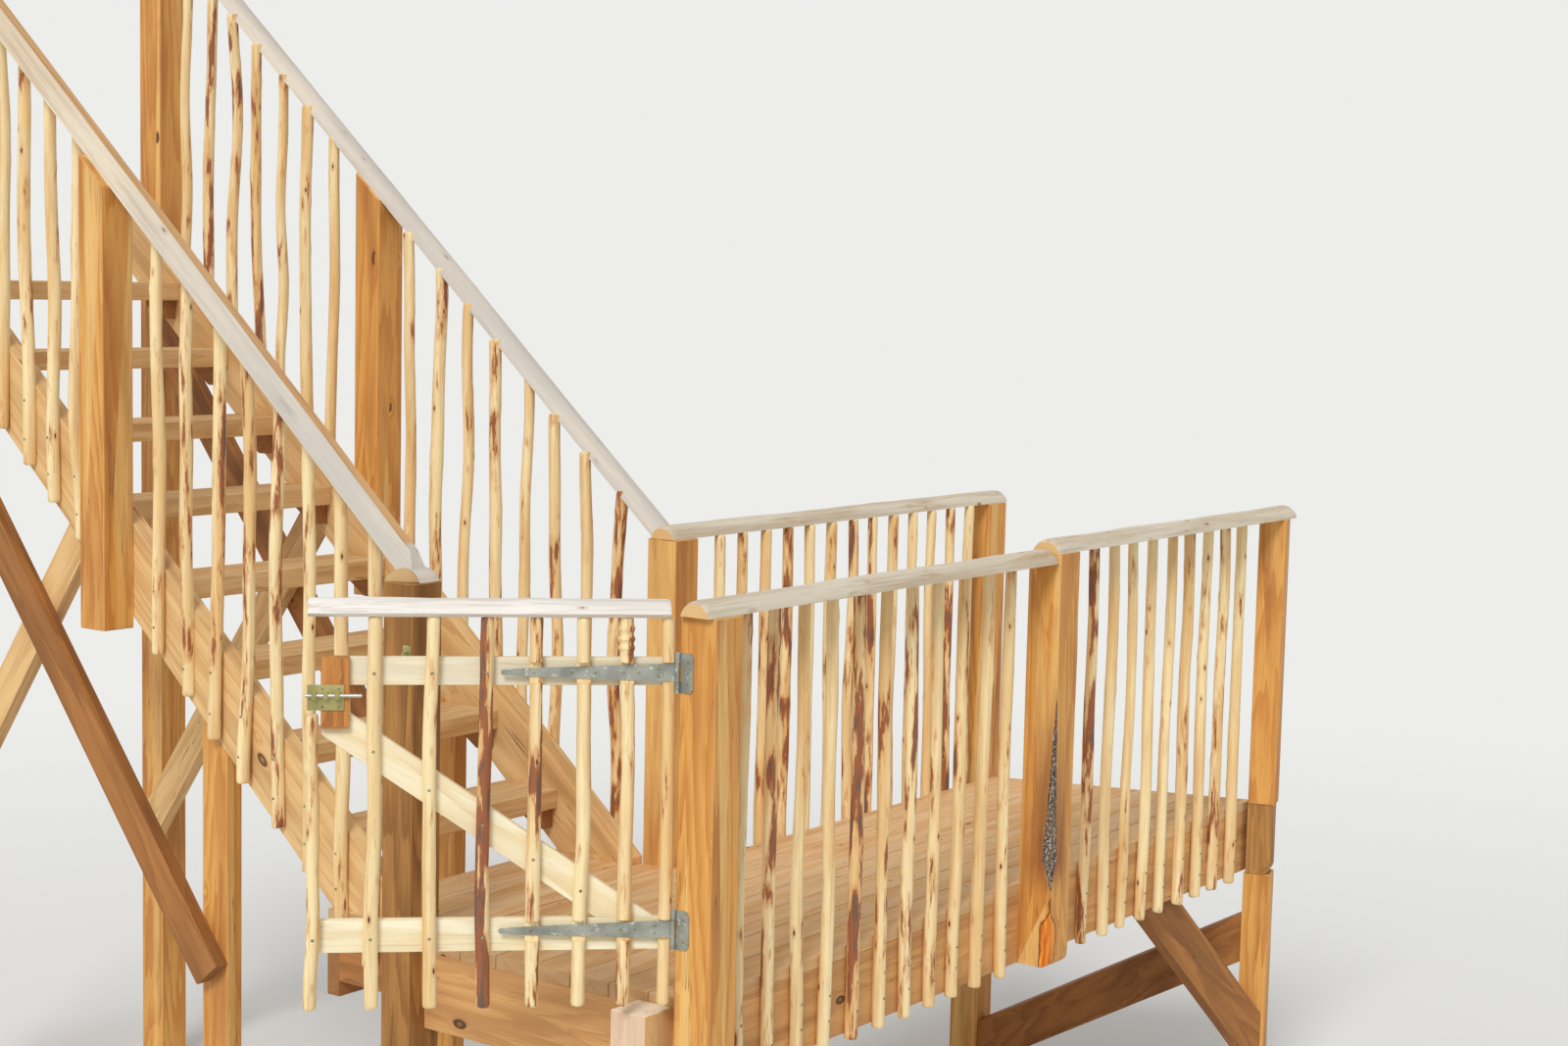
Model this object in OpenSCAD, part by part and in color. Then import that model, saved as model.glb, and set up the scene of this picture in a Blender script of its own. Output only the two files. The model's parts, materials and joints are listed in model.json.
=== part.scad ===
// Timber entrance of a tree house: a narrow deck with picket rails, an open
// gate on strap hinges with a slide bolt, and an open flight of steps.
// X runs along the deck, Y up the flight, Z up. The origin is the centre of
// the gate post's foot.

/* [Deck] */
// height of the walking surface above the lowest ground
deck_h = 1200; // [900:50:1800]
// from the gate post to the near corner post, centre to centre
deck_len = 3540; // [2800:20:4400]
// how much shorter the far side of the deck is, as its end is cut askew
end_skew = 330; // [0:10:500]
// clear way between the gate post and the newel opposite
gate_way = 988; // [800:2:1200]
// from the front of the gate post back to the front fascia
front_set = 60; // [20:5:100]
// reach of the stair landing past the far row of posts
landing_out = 472; // [440:4:600]
// side of the square posts
post = 120; // [100:2:140]
// side of the corner post and of the leg under it
corner = 102; // [90:1:120]
// from the corner of the deck back to the middle of the corner post
corner_in = 36; // [20:1:50]
// how far the corner leg stands back from the corner post
leg_back = 8; // [2:1:16]
// thickness of the deck boards
board_t = 40; // [30:1:50]
// width of a deck board with its gap
board_pitch = 141; // [110:1:180]
// gap between deck boards
board_gap = 4; // [2:0.5:8]
// height of the fascia boards
fascia_h = 230; // [180:5:260]
// thickness of the fascia boards
fascia_t = 50; // [35:1:60]
// height of the joists
joist_h = 180; // [140:5:180]
// thickness of the joists
joist_t = 60; // [45:1:80]
// top of the entry leg below the walking surface
leg_drop = 25; // [10:5:60]
// from the gate post to the entry leg, centre to centre
leg_set_in = 170; // [130:5:400]

/* [Balustrade] */
// top of the handrail above the deck
rail_h = 1114; // [950:2:1200]
// step up of the second near handrail and of the far one over the first
rail_step = 30; // [20:1:50]
// width of the half-round handrails
rail_w = 106; // [90:2:130]
// thickness of the half-round handrails
rail_t = 45; // [35:1:52]
// how far a handrail runs on past its last post
rail_over = 20; // [0:2:60]
// how far the second near handrail runs on past the middle of the corner post
rail_end = 86; // [70:2:110]
// diameter of the peeled pickets
picket_d = 34; // [28:1:42]
// spacing of the pickets, centre to centre
picket_pitch = 138; // [115:1:170]
// how far the pickets reach below the fascia
picket_drop = 14; // [5:1:60]
// from the gate post to the rail post that hangs on the fascia
rail_post_x = 1827; // [1500:1:2100]
// radius of the rounded lower ends of the hung posts
hung_r = 34; // [20:1:50]
// top of the natural edge left on the rail post, above the deck
wane_top = 650; // [400:10:900]
// depth of that edge across the corner of the post at its widest
wane_d = 32; // [15:1:40]

/* [Flight] */
// clear width between the rows of stair posts
stair_way = 1102; // [900:2:1300]
// number of treads
tread_count = 8; // [6:1:8]
// height from one tread to the next
rise = 240; // [200:2:250]
// depth of a step, front edge to front edge
going = 276; // [260:2:300]
// top of the first tread above the deck
first_rise = 216; // [180:2:240]
// front edge of the first tread behind the newels
first_set = 330; // [300:5:360]
// thickness of the treads
tread_t = 66; // [50:1:75]
// depth of a tread, front to back
tread_d = 236; // [200:2:250]
// width of the stringer boards
stringer_w = 230; // [220:2:280]
// thickness of the stringer boards
stringer_t = 60; // [45:1:70]
// from the newels to the hung posts halfway up
first_bay = 1380; // [1200:10:1500]
// from the hung posts to the posts at the head
second_bay = 1180; // [1100:10:1400]
// underside of the stair rails above the deck, at the newels
stair_rail_h = 1061; // [1000:1:1100]
// thickness of the far stair rail
far_rail_t = 40; // [30:1:50]
// height of the hewn near stair rail
hewn_h = 65; // [50:1:80]
// width of its underside
hewn_w = 90; // [80:1:100]
// width of its flat top
hewn_top = 34; // [20:1:60]
// width of the half-round cap on the gate newel
cap_w = 114; // [100:1:118]
// thickness of that cap
cap_t = 40; // [30:1:50]
// how far the oblique end of the cap is cut back
cap_cut = 49; // [20:1:70]
// how far the hung posts reach below the stringers
hung_tail = 34; // [20:2:100]
// from the newels to the legs under the stringers
leg_bay = 928; // [700:10:1000]

/* [Bracing] */
// width of the braces under the flight
brace_w = 120; // [80:5:150]
// thickness of those braces
brace_t = 50; // [40:1:60]
// where the rising braces leave the legs, above the ground
rising_foot = 997; // [700:1:1100]
// where they meet the head posts, below the undersides of the stringers
rising_drop = 170; // [60:5:300]
// top of the falling braces behind the hung posts
falling_set = 223; // [150:1:400]
// where the falling braces meet the head posts, above the ground
falling_foot = 1005; // [700:1:1200]
// width of the braces at the corner leg
corner_brace_w = 166; // [120:2:180]
// thickness of those braces
corner_brace_t = 60; // [40:1:70]
// foot of the diagonal at the deck's end above the ground
end_foot = 80; // [70:5:400]
// top of that diagonal below the fascia
end_drop = 230; // [150:5:300]
// middle of the knee brace on the corner leg, above the ground
knee_foot = 267; // [200:1:400]
// how far the knee brace is turned towards the deck, in plan
knee_turn = 12; // [0:1:20]

/* [Gate] */
// gate angle from shut, as it stands
gate_open = 43.4; // [30:0.2:80]
// from the pin to the tip of the gate
gate_len = 976; // [800:1:1100]
// top of the gate below the top of the handrail
gate_drop = 4; // [0:1:30]
// clear gap under the gate's pickets
gate_clear = 8; // [5:1:30]
// number of gate pickets
gate_pickets_n = 8; // [6:1:9]
// how the pickets crowd towards the hinges, 0 for even spacing
picket_crowd = 0.04; // [0:0.005:0.08]
// thickness of the gate boards
gate_board_t = 28; // [22:1:34]
// width of the middle board
mid_board_w = 74; // [60:2:100]
// width of the lower board
low_board_w = 88; // [60:2:120]
// width of the diagonal board
gate_brace_w = 88; // [60:2:100]
// top of the middle board below the top of the gate
mid_drop = 160; // [120:5:220]
// underside of the lower board above the deck
low_lift = 155; // [100:5:200]
// width of the hinge plates
plate_w = 48; // [36:1:52]
// length of the strap hinges from the pin
strap_len = 468; // [350:2:520]
// width of a strap at the pin
strap_w = 50; // [40:1:60]
// width of a strap at its tip
strap_tip = 19; // [14:1:24]
// diameter of the bolt rod
bolt_d = 10; // [8:0.5:14]
// bolt below the top of the gate
bolt_drop = 258; // [250:1:300]
// length of the bolt rod
bolt_len = 146; // [130:2:180]

/* [Hidden] */
$fn = 32;
eps = 0.02;
half = post / 2;
front_x = front_set - half;
near_y = half;
far_y = near_y + gate_way;
far_row_y = far_y + half;
skew_a = atan(end_skew / far_row_y);
frame_z = deck_h - board_t;
frame_bot = frame_z - fascia_h;
rail_z = deck_h + rail_h - rail_t;
picket_r = picket_d / 2;
picket_z = frame_bot - picket_drop;
far_rail_z = rail_z + rail_step;
corner_half = corner / 2;
corner_x = deck_len - corner_in;
corner_y = near_y - corner_half / cos(skew_a) - (corner_in - near_y * tan(skew_a)) * tan(skew_a);
joint_step = 4;

far_newel_x = half + stair_way + half;
slope = rise / going;
pitch_a = atan(slope);
toe_y = far_row_y + half;
toe_up = 25;
stringer_v = stringer_w / cos(pitch_a);
hung_post_y = far_row_y + first_bay;
head_post_y = hung_post_y + second_bay;
leg_y = far_row_y + leg_bay;
inner_x = half + stringer_t;
cleat_t = 45;
foot_gap = 5;
newel_z = deck_h + stair_rail_h;
hewn_x = half - 4 - hewn_w;
hewn_top_x = hewn_x + 26;
cap_y = near_y + gate_way + 3 + cap_w / 2;
wane_wide = 110;
wane_bot = -15;

pin_r = 3.5;
pin_fit = 0.2;
knuckle_r = 7;
knuckle_gap = 1;
plate_t = 3;
pin_x = -half - knuckle_r - knuckle_gap;
pin_y = half + knuckle_gap;
strap_n = knuckle_r - plate_t;
notch_n = strap_n + plate_t;
gate_picket_n = notch_n + 2;
gate_board_n = gate_picket_n + picket_r;
gate_h = rail_h - gate_drop;
bolt_h = gate_h - bolt_drop;
plate_cut = 10;
gate_rail_w = 84;
gate_rail_t = 48;
low_z = [low_lift, low_lift + low_board_w];
mid_z = [gate_h - mid_drop - mid_board_w, gate_h - mid_drop];
strap_z = [low_z[1] - 28, mid_z[1] - 36];
latch_s = [gate_len - 113, gate_len - 39];
bolt_n = strap_n - 1 - bolt_d / 2;
bolt_fit = 0.5;
keeper_y = far_y + 14;
keeper_t = 12;

// a block between two opposite corners
module block(a, b) {
    translate(a) cube(b - a);
}

// a square post centred on x and y, from z0 to z1
module square_post(x, y, z0, z1) {
    block([x - half, y - half, z0], [x + half, y + half, z1]);
}

// the shape below stands in the Y-Z plane, from x0 to x1
module stand_y(x0, x1) {
    translate([x0, 0, 0]) rotate([90, 0, 90]) linear_extrude(x1 - x0) children();
}

// the shape below stands in the X-Z plane, from y0 to y1
module stand_x(y0, y1) {
    translate([0, y1, 0]) rotate([90, 0, 0]) linear_extrude(y1 - y0) children();
}

// half-round section with a flat underside
module rail_section(w, t) {
    r = (w * w / 4 + t * t) / (2 * t);
    intersection() {
        translate([0, t - r]) circle(r, $fn = 64);
        translate([-w / 2, 0]) square([w, t]);
    }
}

// half-round bar from the origin along +Y, flat side down
module rail_along_y(len, w = rail_w, t = rail_t) {
    rotate([90, 0, 180]) linear_extrude(len) rail_section(w, t);
}

module rail_along_x(len) {
    rotate([0, 0, -90]) rail_along_y(len);
}

// a peeled round picket
module picket(x, y, z0, z1) {
    translate([x, y, z0]) cylinder(h = z1 - z0, r = picket_r);
}

// the near side of the flight and its mirror image on the far side
module both_sides() {
    children();
    translate([far_newel_x, 0, 0]) mirror([1, 0, 0]) children();
}

function row_count(span) = max(2, round(span / picket_pitch) - 1);
function end_x(y) = deck_len - y * tan(skew_a);
function string_top(y) = deck_h + toe_up + (y - toe_y) * slope;
function string_bot(y) = string_top(y) - stringer_v;
function stair_rail_z(y) = newel_z + (y - far_row_y) * slope;

// Posts

module gate_post() { color("peru") square_post(0, 0, 0, rail_z); }
module gate_newel() { color("peru") square_post(0, far_row_y, 0, newel_z); }
module far_newel() { color("peru") square_post(far_newel_x, far_row_y, 0, far_rail_z); }

// outline of a hung post seen along X, rounded at the lower outer corner
module hung_outline(y0, y1, z0, z1) {
    translate([y0, z0 + hung_r]) square([y1 - y0, z1 - z0 - hung_r]);
    translate([y0 + hung_r, z0]) square([y1 - y0 - hung_r, z1 - z0]);
    translate([y0 + hung_r, z0 + hung_r]) circle(hung_r);
}

// the wood missing at a natural edge, deepest at the origin and run out by a height h
module wane_side(h) {
    rotate([0, -sign(h) * atan(wane_d / abs(h)), 0])
        block([-post, -post, min(0, 2 * h)], [0, post, max(0, 2 * h)]);
}

// the natural edge on the front corner of the rail post
module wane() {
    deep = deck_h + wane_bot + wane_wide;
    translate([rail_post_x - half, -half, deep]) rotate([0, 0, 45]) translate([wane_d, 0, 0]) {
        wane_side(deck_h + wane_top - deep);
        wane_side(-wane_wide);
    }
}

module rail_post() {
    color("sienna") difference() {
        stand_y(rail_post_x - half, rail_post_x + half)
            hung_outline(-half, half, frame_bot, rail_z + rail_step);
        wane();
    }
}

// the pieces at the corner turn with the skewed end of the deck
module at_corner() {
    translate([corner_x, corner_y, 0]) rotate([0, 0, skew_a]) children();
}

module corner_post() {
    color("peru") at_corner() block([-corner_half, -corner_half, deck_h],
        [corner_half, corner_half, rail_z + rail_step]);
}

module corner_block() {
    color("peru") at_corner() stand_y(-corner_half + joint_step, corner_half)
        hung_outline(-corner_half + leg_back, corner_half, frame_bot, deck_h);
}

module corner_leg() {
    color("peru") at_corner() translate([leg_back, leg_back, 0])
        block([-corner_half, -corner_half, 0], [corner_half, corner_half, frame_bot]);
}

module far_corner_post() {
    color("peru") square_post(deck_len - end_skew, far_row_y, 0, far_rail_z);
}

module entry_leg() {
    color("tan") square_post(front_x - half, leg_set_in, 0, deck_h - leg_drop);
}

// Deck

// a board under the deck with a level outline, as high as the fascia
module fascia(outline) {
    color("sandybrown") translate([0, 0, frame_bot]) linear_extrude(fascia_h) polygon(outline);
}

module near_fascia() {
    x0 = front_x + fascia_t;
    y1 = near_y + fascia_t;
    fascia([[x0, near_y], [end_x(near_y), near_y], [end_x(y1), y1], [x0, y1]]);
}

module far_fascia() {
    x0 = front_x + fascia_t;
    y0 = far_y - fascia_t;
    fascia([[x0, y0], [end_x(y0), y0], [end_x(far_y), far_y], [x0, far_y]]);
}

module front_fascia() {
    x1 = front_x + fascia_t;
    fascia([[front_x, near_y], [x1, near_y], [x1, far_y], [front_x, far_y]]);
}

module end_fascia() {
    y0 = near_y + fascia_t;
    y1 = far_y - fascia_t;
    t = fascia_t / cos(skew_a);
    fascia([[end_x(y0) - t, y0], [end_x(y0), y0], [end_x(y1), y1], [end_x(y1) - t, y1]]);
}

module deck_joists() {
    x0 = front_x + fascia_t;
    span = end_x(far_y) - fascia_t - x0;
    n = 5;
    color("peru") for (i = [1:n])
        block([x0 + i * span / (n + 1) - joist_t / 2, near_y + fascia_t, frame_z - joist_h],
            [x0 + i * span / (n + 1) + joist_t / 2, far_y - fascia_t, frame_z]);
}

// boards side by side along X, on the deck and on the landing
module deck_boards() {
    n = round(gate_way / board_pitch);
    w = (gate_way + board_gap) / n;
    m = round(landing_out / board_pitch);
    v = landing_out / m;
    color("burlywood") translate([0, 0, frame_z]) linear_extrude(board_t) {
        for (i = [0:n - 1]) {
            y0 = near_y + i * w;
            y1 = y0 + w - board_gap;
            polygon([[front_x, y0], [end_x(y0), y0], [end_x(y1), y1], [front_x, y1]]);
        }
        for (i = [0:m - 1])
            translate([half, far_y + board_gap + i * v]) square([stair_way, v - board_gap]);
    }
}

module landing_joists() {
    y1 = far_y + landing_out - fascia_t;
    color("peru") for (x = [half, half + (stair_way - joist_t) / 2, half + stair_way - joist_t])
        block([x, far_y, frame_z - joist_h], [x + joist_t, y1, frame_z]);
}

module landing_fascia() {
    y1 = far_y + landing_out;
    fascia([[half, y1 - fascia_t], [half + stair_way, y1 - fascia_t],
        [half + stair_way, y1], [half, y1]]);
}

// Deck rails and pickets

module near_handrail_1() {
    color("gainsboro") translate([-half - rail_over, 0, rail_z])
        rail_along_x(rail_post_x + rail_over);
}

module near_handrail_2() {
    x0 = rail_post_x - half;
    color("gainsboro") translate([x0, 0, rail_z + rail_step])
        rail_along_x(corner_x + rail_end - x0);
}

module far_handrail() {
    x0 = far_newel_x - half;
    color("gainsboro") translate([x0, far_row_y, far_rail_z])
        rail_along_x(deck_len - end_skew + half + rail_over - x0);
}

module picket_row(x0, x1, y, z1) {
    n = row_count(x1 - x0);
    color("wheat") for (i = [1:n]) picket(x0 + i * (x1 - x0) / (n + 1), y, picket_z, z1);
}

module near_pickets_1() { picket_row(half, rail_post_x - half, near_y - picket_r, rail_z); }

module near_pickets_2() {
    picket_row(rail_post_x + half, corner_x - corner_half / cos(skew_a), near_y - picket_r,
        rail_z + rail_step);
}

module far_pickets() {
    picket_row(far_newel_x + half, deck_len - end_skew - half, far_y + picket_r, far_rail_z);
}

// Flight

module stringer() {
    y1 = head_post_y + half;
    color("tan") stand_y(half, inner_x) polygon([[toe_y, deck_h], [toe_y, deck_h + toe_up],
        [y1, string_top(y1)], [y1, string_bot(y1)],
        [toe_y + (stringer_v - toe_up) / slope, deck_h]]);
}

module near_stringer() { stringer(); }
module far_stringer() { translate([far_newel_x, 0, 0]) mirror([1, 0, 0]) stringer(); }

function tread_y(i) = toe_y + first_set + i * going;
function tread_z(i) = deck_h + first_rise + i * rise;

module treads() {
    color("tan") for (i = [0:tread_count - 1])
        block([inner_x, tread_y(i), tread_z(i) - tread_t],
            [far_newel_x - inner_x, tread_y(i) + tread_d, tread_z(i)]);
}

// a cleat under each end of each tread, its lower end sloped off
module tread_cleats() {
    run = 120;
    drop = 70;
    color("peru") both_sides() for (i = [0:tread_count - 1])
        translate([0, tread_y(i) + 20, tread_z(i) - tread_t])
            stand_y(inner_x, inner_x + cleat_t)
                polygon([[0, 0], [0, -drop], [run / 3, -drop], [run, -drop / 4], [run, 0]]);
}

// half-round cap across the newel, its outer end cut obliquely
module newel_cap() {
    y0 = cap_y - cap_w / 2;
    y1 = cap_y + cap_w / 2;
    color("gainsboro") difference() {
        translate([-half, cap_y, newel_z]) rotate([0, 0, -90]) rail_along_y(post, cap_w, cap_t);
        translate([0, 0, newel_z - 1]) linear_extrude(cap_t + 2)
            polygon([[-half - 1, y1], [-half, y1], [-half + cap_cut, y0],
                [-half + cap_cut, y0 - 1], [-half - 1, y0 - 1]]);
    }
}

// a bar with the section below that follows the slope over the posts of the flight
module sloping() {
    run = head_post_y + half + rail_over - far_row_y;
    translate([0, far_row_y, newel_z]) rotate([pitch_a, 0, 0]) rotate([90, 0, 180])
        translate([0, 0, -post]) linear_extrude(run / cos(pitch_a) + post) children();
}

// rail hewn to four flats, coped over the cap on the newel
module near_stair_rail() {
    color("gainsboro") difference() {
        sloping() polygon([[-hewn_x, 0], [-hewn_x - hewn_w, 0],
            [-hewn_top_x - hewn_top, hewn_h], [-hewn_top_x, hewn_h]]);
        block([-post, far_y - post, 0], [post, cap_y - cap_w / 3, 2 * rail_z]);
        newel_cap();
        block([-half, far_y, 0], [half, toe_y, newel_z]);
    }
}

// half-round rail, coped against the far handrail and its newel
module far_stair_rail() {
    color("gainsboro") difference() {
        translate([far_newel_x, 0, 0]) sloping() rail_section(rail_w, far_rail_t);
        block([far_newel_x - post, far_y - post, 0], [far_newel_x + post, far_row_y, 2 * rail_z]);
        far_handrail();
        far_newel();
    }
}

// pickets between two posts of the flight, their tops cut to the slope of the rail
module stair_picket_row(y0, y1) {
    n = row_count(y1 - y0);
    for (i = [1:n]) {
        y = y0 + i * (y1 - y0) / (n + 1);
        z0 = max(string_bot(y + picket_r) + foot_gap, picket_z);
        difference() {
            picket(half - picket_r, y, z0, stair_rail_z(y + picket_r));
            stand_y(0, post) polygon([[y - post, stair_rail_z(y - post) - eps],
                [y + post, stair_rail_z(y + post) - eps], [y + post, stair_rail_z(y + 2 * post)],
                [y - post, stair_rail_z(y + 2 * post)]]);
        }
    }
}

module stair_pickets() {
    color("wheat") {
        stair_picket_row(far_row_y + half, hung_post_y - half);
        stair_picket_row(hung_post_y + half, head_post_y - half);
    }
}

module near_stair_pickets() { stair_pickets(); }
module far_stair_pickets() { translate([far_newel_x, 0, 0]) mirror([1, 0, 0]) stair_pickets(); }

// a post beside the stringer, its top cut to the slope of the rail
module stair_post(y, z0) {
    color("peru") stand_y(-half, half) polygon([[y - half, z0], [y + half, z0],
        [y + half, stair_rail_z(y + half) - eps], [y - half, stair_rail_z(y - half) - eps]]);
}

module hung_posts() {
    both_sides() stair_post(hung_post_y, string_bot(hung_post_y - half) - hung_tail);
}

module head_posts() { both_sides() stair_post(head_post_y, 0); }

// legs under the stringers, their tops cut to the slope
module flight_legs() {
    y0 = leg_y - half;
    y1 = leg_y + half;
    color("peru") both_sides() stand_y(half, inner_x)
        polygon([[y0, 0], [y1, 0], [y1, string_bot(y1)], [y0, string_bot(y0)]]);
}

// a straight board from a to b in the plane of its own outline
module strip(a, b, w) {
    d = b - a;
    translate(a) rotate(atan2(d[1], d[0])) translate([0, -w / 2]) square([norm(d), w]);
}

// a strip that runs on past both ends by the side of a post
module long_strip(a, b, w) {
    more = (b - a) * post / norm(b - a);
    strip(a - more, b + more, w);
}

// from the legs up to the faces of the head posts
module rising_braces() {
    y1 = head_post_y - half;
    color("saddlebrown") both_sides() stand_y(half - brace_t, half) difference() {
        long_strip([leg_y + half, rising_foot], [y1, string_bot(y1) - rising_drop], brace_w);
        translate([y1, 0]) square([2 * post, string_top(y1)]);
    }
}

// from the undersides of the stringers down to the head posts
module falling_braces() {
    y0 = hung_post_y + falling_set;
    color("burlywood") both_sides() stand_y(half, half + brace_t) difference() {
        long_strip([y0, string_bot(y0)], [head_post_y - half, falling_foot], brace_w);
        polygon([[toe_y, string_bot(toe_y)], [head_post_y, string_bot(head_post_y)],
            [head_post_y, string_top(head_post_y)], [toe_y, string_top(head_post_y)]]);
    }
}

// Bracing of the deck's corner

// diagonal in the skewed end plane, cut against the corner leg and the far post
module end_brace() {
    reach = far_row_y / cos(skew_a);
    color("saddlebrown") difference() {
        at_corner() stand_y(leg_back - corner_brace_t / 2, leg_back + corner_brace_t / 2)
            strip([0, frame_bot - end_drop], [reach, end_foot], corner_brace_w);
        at_corner() block([-post, -post, 0], [post, corner_half + leg_back, deck_h]);
        block([deck_len - end_skew - post, far_row_y - half, 0],
            [deck_len - end_skew + post, far_row_y + 2 * post, deck_h]);
        translate([0, 0, -post]) block([0, 0, 0], [2 * deck_len, 2 * far_row_y, post]);
    }
}

// at half a right angle from the corner leg up to the underside of the near fascia
module knee_brace() {
    side = 12;
    up = frame_bot - knee_foot + corner_brace_w;
    color("sienna") difference() {
        at_corner() translate([leg_back - corner_half, leg_back - corner_half + side, 0])
            rotate([0, 0, -knee_turn - skew_a]) stand_x(0, corner_brace_t) intersection() {
                strip([-up, knee_foot + up], [post, knee_foot - post], corner_brace_w);
                translate([-deck_len, 0]) square([2 * deck_len, frame_bot]);
            }
        at_corner() block([leg_back - corner_half, -2 * post, 0], [4 * post, 4 * post, deck_h]);
    }
}

// Hinges and bolt on the posts

// plate on the gate post with two knuckles round the pin
module hinge_plate(z) {
    h = 2 * strap_w + 8;
    ear = (h - strap_w) / 2 - knuckle_gap;
    translate([0, 0, z - h / 2]) {
        stand_y(-half - plate_t, -half) polygon([[half - 9, 0], [half - 9, h],
            [half - plate_w + plate_cut, h], [half - plate_w, h - plate_cut],
            [half - plate_w, plate_cut], [half - plate_w + plate_cut, 0]]);
        for (e = [0, h - ear]) translate([0, 0, e]) {
            block([-half - plate_t, half - 10, 0], [-half, half, ear]);
            translate([pin_x, pin_y, 0]) cylinder(h = ear, r = knuckle_r);
        }
        translate([pin_x, pin_y, 2]) cylinder(h = h - 4, r = pin_r);
    }
}

module hinge_plates() {
    color("lightslategray") for (z = strap_z) hinge_plate(deck_h + z);
}

// catch for the bolt on the front of the newel
module bolt_keeper() {
    x = pin_x + bolt_n;
    z = deck_h + bolt_h;
    color("darkkhaki") difference() {
        union() {
            block([-half - plate_t, far_y + 4, z - 28], [-half, far_y + 36, z + 28]);
            block([x - bolt_d, keeper_y, z - bolt_d], [-half, keeper_y + keeper_t, z + bolt_d]);
        }
        translate([x, keeper_y - 1, z]) rotate([-90, 0, 0])
            cylinder(h = keeper_t + 2, r = bolt_d / 2 + 1.5);
    }
}

// Gate: drawn shut along +Y from the pin, then swung open

module on_gate() {
    translate([pin_x, pin_y, deck_h]) rotate([0, 0, gate_open]) children();
}

// a board of the gate to an outline of distance from the pin and height
module gate_board(outline) {
    color("cornsilk") on_gate() stand_y(gate_board_n, gate_board_n + gate_board_t)
        polygon(outline);
}

function rect(s, z) = [[s[0], z[0]], [s[1], z[0]], [s[1], z[1]], [s[0], z[1]]];

// share of the way from the first picket to the last
function picket_share(i) = i * (1 + picket_crowd * i)
    / ((gate_pickets_n - 1) * (1 + picket_crowd * (gate_pickets_n - 1)));
function gate_picket_s(i) = 24 + (gate_len - picket_r - 24) * picket_share(i);

module gate_top_rail() {
    color("gainsboro") on_gate()
        translate([gate_picket_n + 10, 20, gate_h - gate_rail_t])
            rail_along_y(gate_len - 26, gate_rail_w, gate_rail_t);
}

module gate_mid_board() { gate_board(rect([18, latch_s[1]], mid_z)); }
module gate_low_board() { gate_board(rect([12, gate_len - 8], low_z)); }

module gate_brace() {
    foot = [50, low_z[1]];
    head = [latch_s[1], bolt_h - 2];
    lean = atan2(head[1] - foot[1], head[0] - foot[0]);
    gate_board([foot, head, head - [0, gate_brace_w / cos(lean)],
        foot + [gate_brace_w / sin(lean), 0]]);
}

// the pickets, notched so that the straps lie within them
module gate_pickets() {
    last = gate_pickets_n - 1;
    slack = 3;
    color("wheat") on_gate() difference() {
        for (i = [0:last])
            picket(gate_picket_n, gate_picket_s(i), gate_clear,
                i == last ? bolt_h - 52 : gate_h - gate_rail_t);
        for (z = strap_z)
            block([gate_picket_n - picket_r - 5, 0, z - strap_w / 2 - slack],
                [notch_n, strap_len + 2 * slack, z + strap_w / 2 + slack]);
    }
}

module latch_block() {
    color("peru") on_gate() block([notch_n, latch_s[0], bolt_h - 89],
        [gate_board_n, latch_s[1], mid_z[1] + 5]);
}

// outline of a strap: tapered, with a stepped and rounded tip
module strap_outline() {
    tip_r = strap_tip / 2 - 2;
    neck = strap_len - 30;
    polygon([[0, -strap_w / 2], [neck, -strap_tip / 2], [neck, strap_tip / 2],
        [0, strap_w / 2]]);
    translate([neck - 1, -tip_r]) square([strap_len - tip_r - neck + 1, 2 * tip_r]);
    translate([strap_len - tip_r, 0]) circle(tip_r);
}

module strap_hinges() {
    color("lightslategray") on_gate() for (z = strap_z) translate([0, 0, z]) difference() {
        union() {
            stand_y(strap_n, strap_n + plate_t) strap_outline();
            translate([0, 0, -strap_w / 2]) cylinder(h = strap_w, r = knuckle_r);
        }
        translate([0, 0, -strap_w]) cylinder(h = 2 * strap_w, r = pin_r + pin_fit);
    }
}

// plate with three staples that guide the rod
module bolt_plate() {
    s0 = gate_len - 100;
    rim = bolt_d / 2 + 4;
    color("darkkhaki") on_gate() translate([0, 0, bolt_h]) difference() {
        union() {
            block([strap_n, s0, -40], [strap_n + plate_t, gate_len - 4, 28]);
            for (i = [0:2])
                block([bolt_n - rim, s0 + 12 + 30 * i, -rim],
                    [strap_n + eps, s0 + 24 + 30 * i, rim]);
        }
        translate([bolt_n, s0 - 1, 0]) rotate([-90, 0, 0])
            cylinder(h = 102, r = bolt_d / 2 + bolt_fit);
    }
}

module bolt_rod() {
    color("silver") on_gate() translate([bolt_n, gate_len - bolt_len, bolt_h])
        rotate([-90, 0, 0]) cylinder(h = bolt_len, d = bolt_d);
}

gate_post();
gate_newel();
far_newel();
rail_post();
corner_post();
corner_block();
corner_leg();
far_corner_post();
entry_leg();
near_fascia();
far_fascia();
front_fascia();
end_fascia();
deck_joists();
deck_boards();
landing_joists();
landing_fascia();
near_handrail_1();
near_handrail_2();
far_handrail();
near_pickets_1();
near_pickets_2();
far_pickets();
near_stringer();
far_stringer();
treads();
tread_cleats();
near_stair_rail();
newel_cap();
far_stair_rail();
near_stair_pickets();
far_stair_pickets();
hung_posts();
head_posts();
flight_legs();
rising_braces();
falling_braces();
end_brace();
knee_brace();
hinge_plates();
bolt_keeper();
gate_top_rail();
gate_mid_board();
gate_low_board();
gate_brace();
gate_pickets();
latch_block();
strap_hinges();
bolt_plate();
bolt_rod();
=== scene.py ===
import json
import math
import random

import bpy
from mathutils import Matrix, Vector, noise


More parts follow.
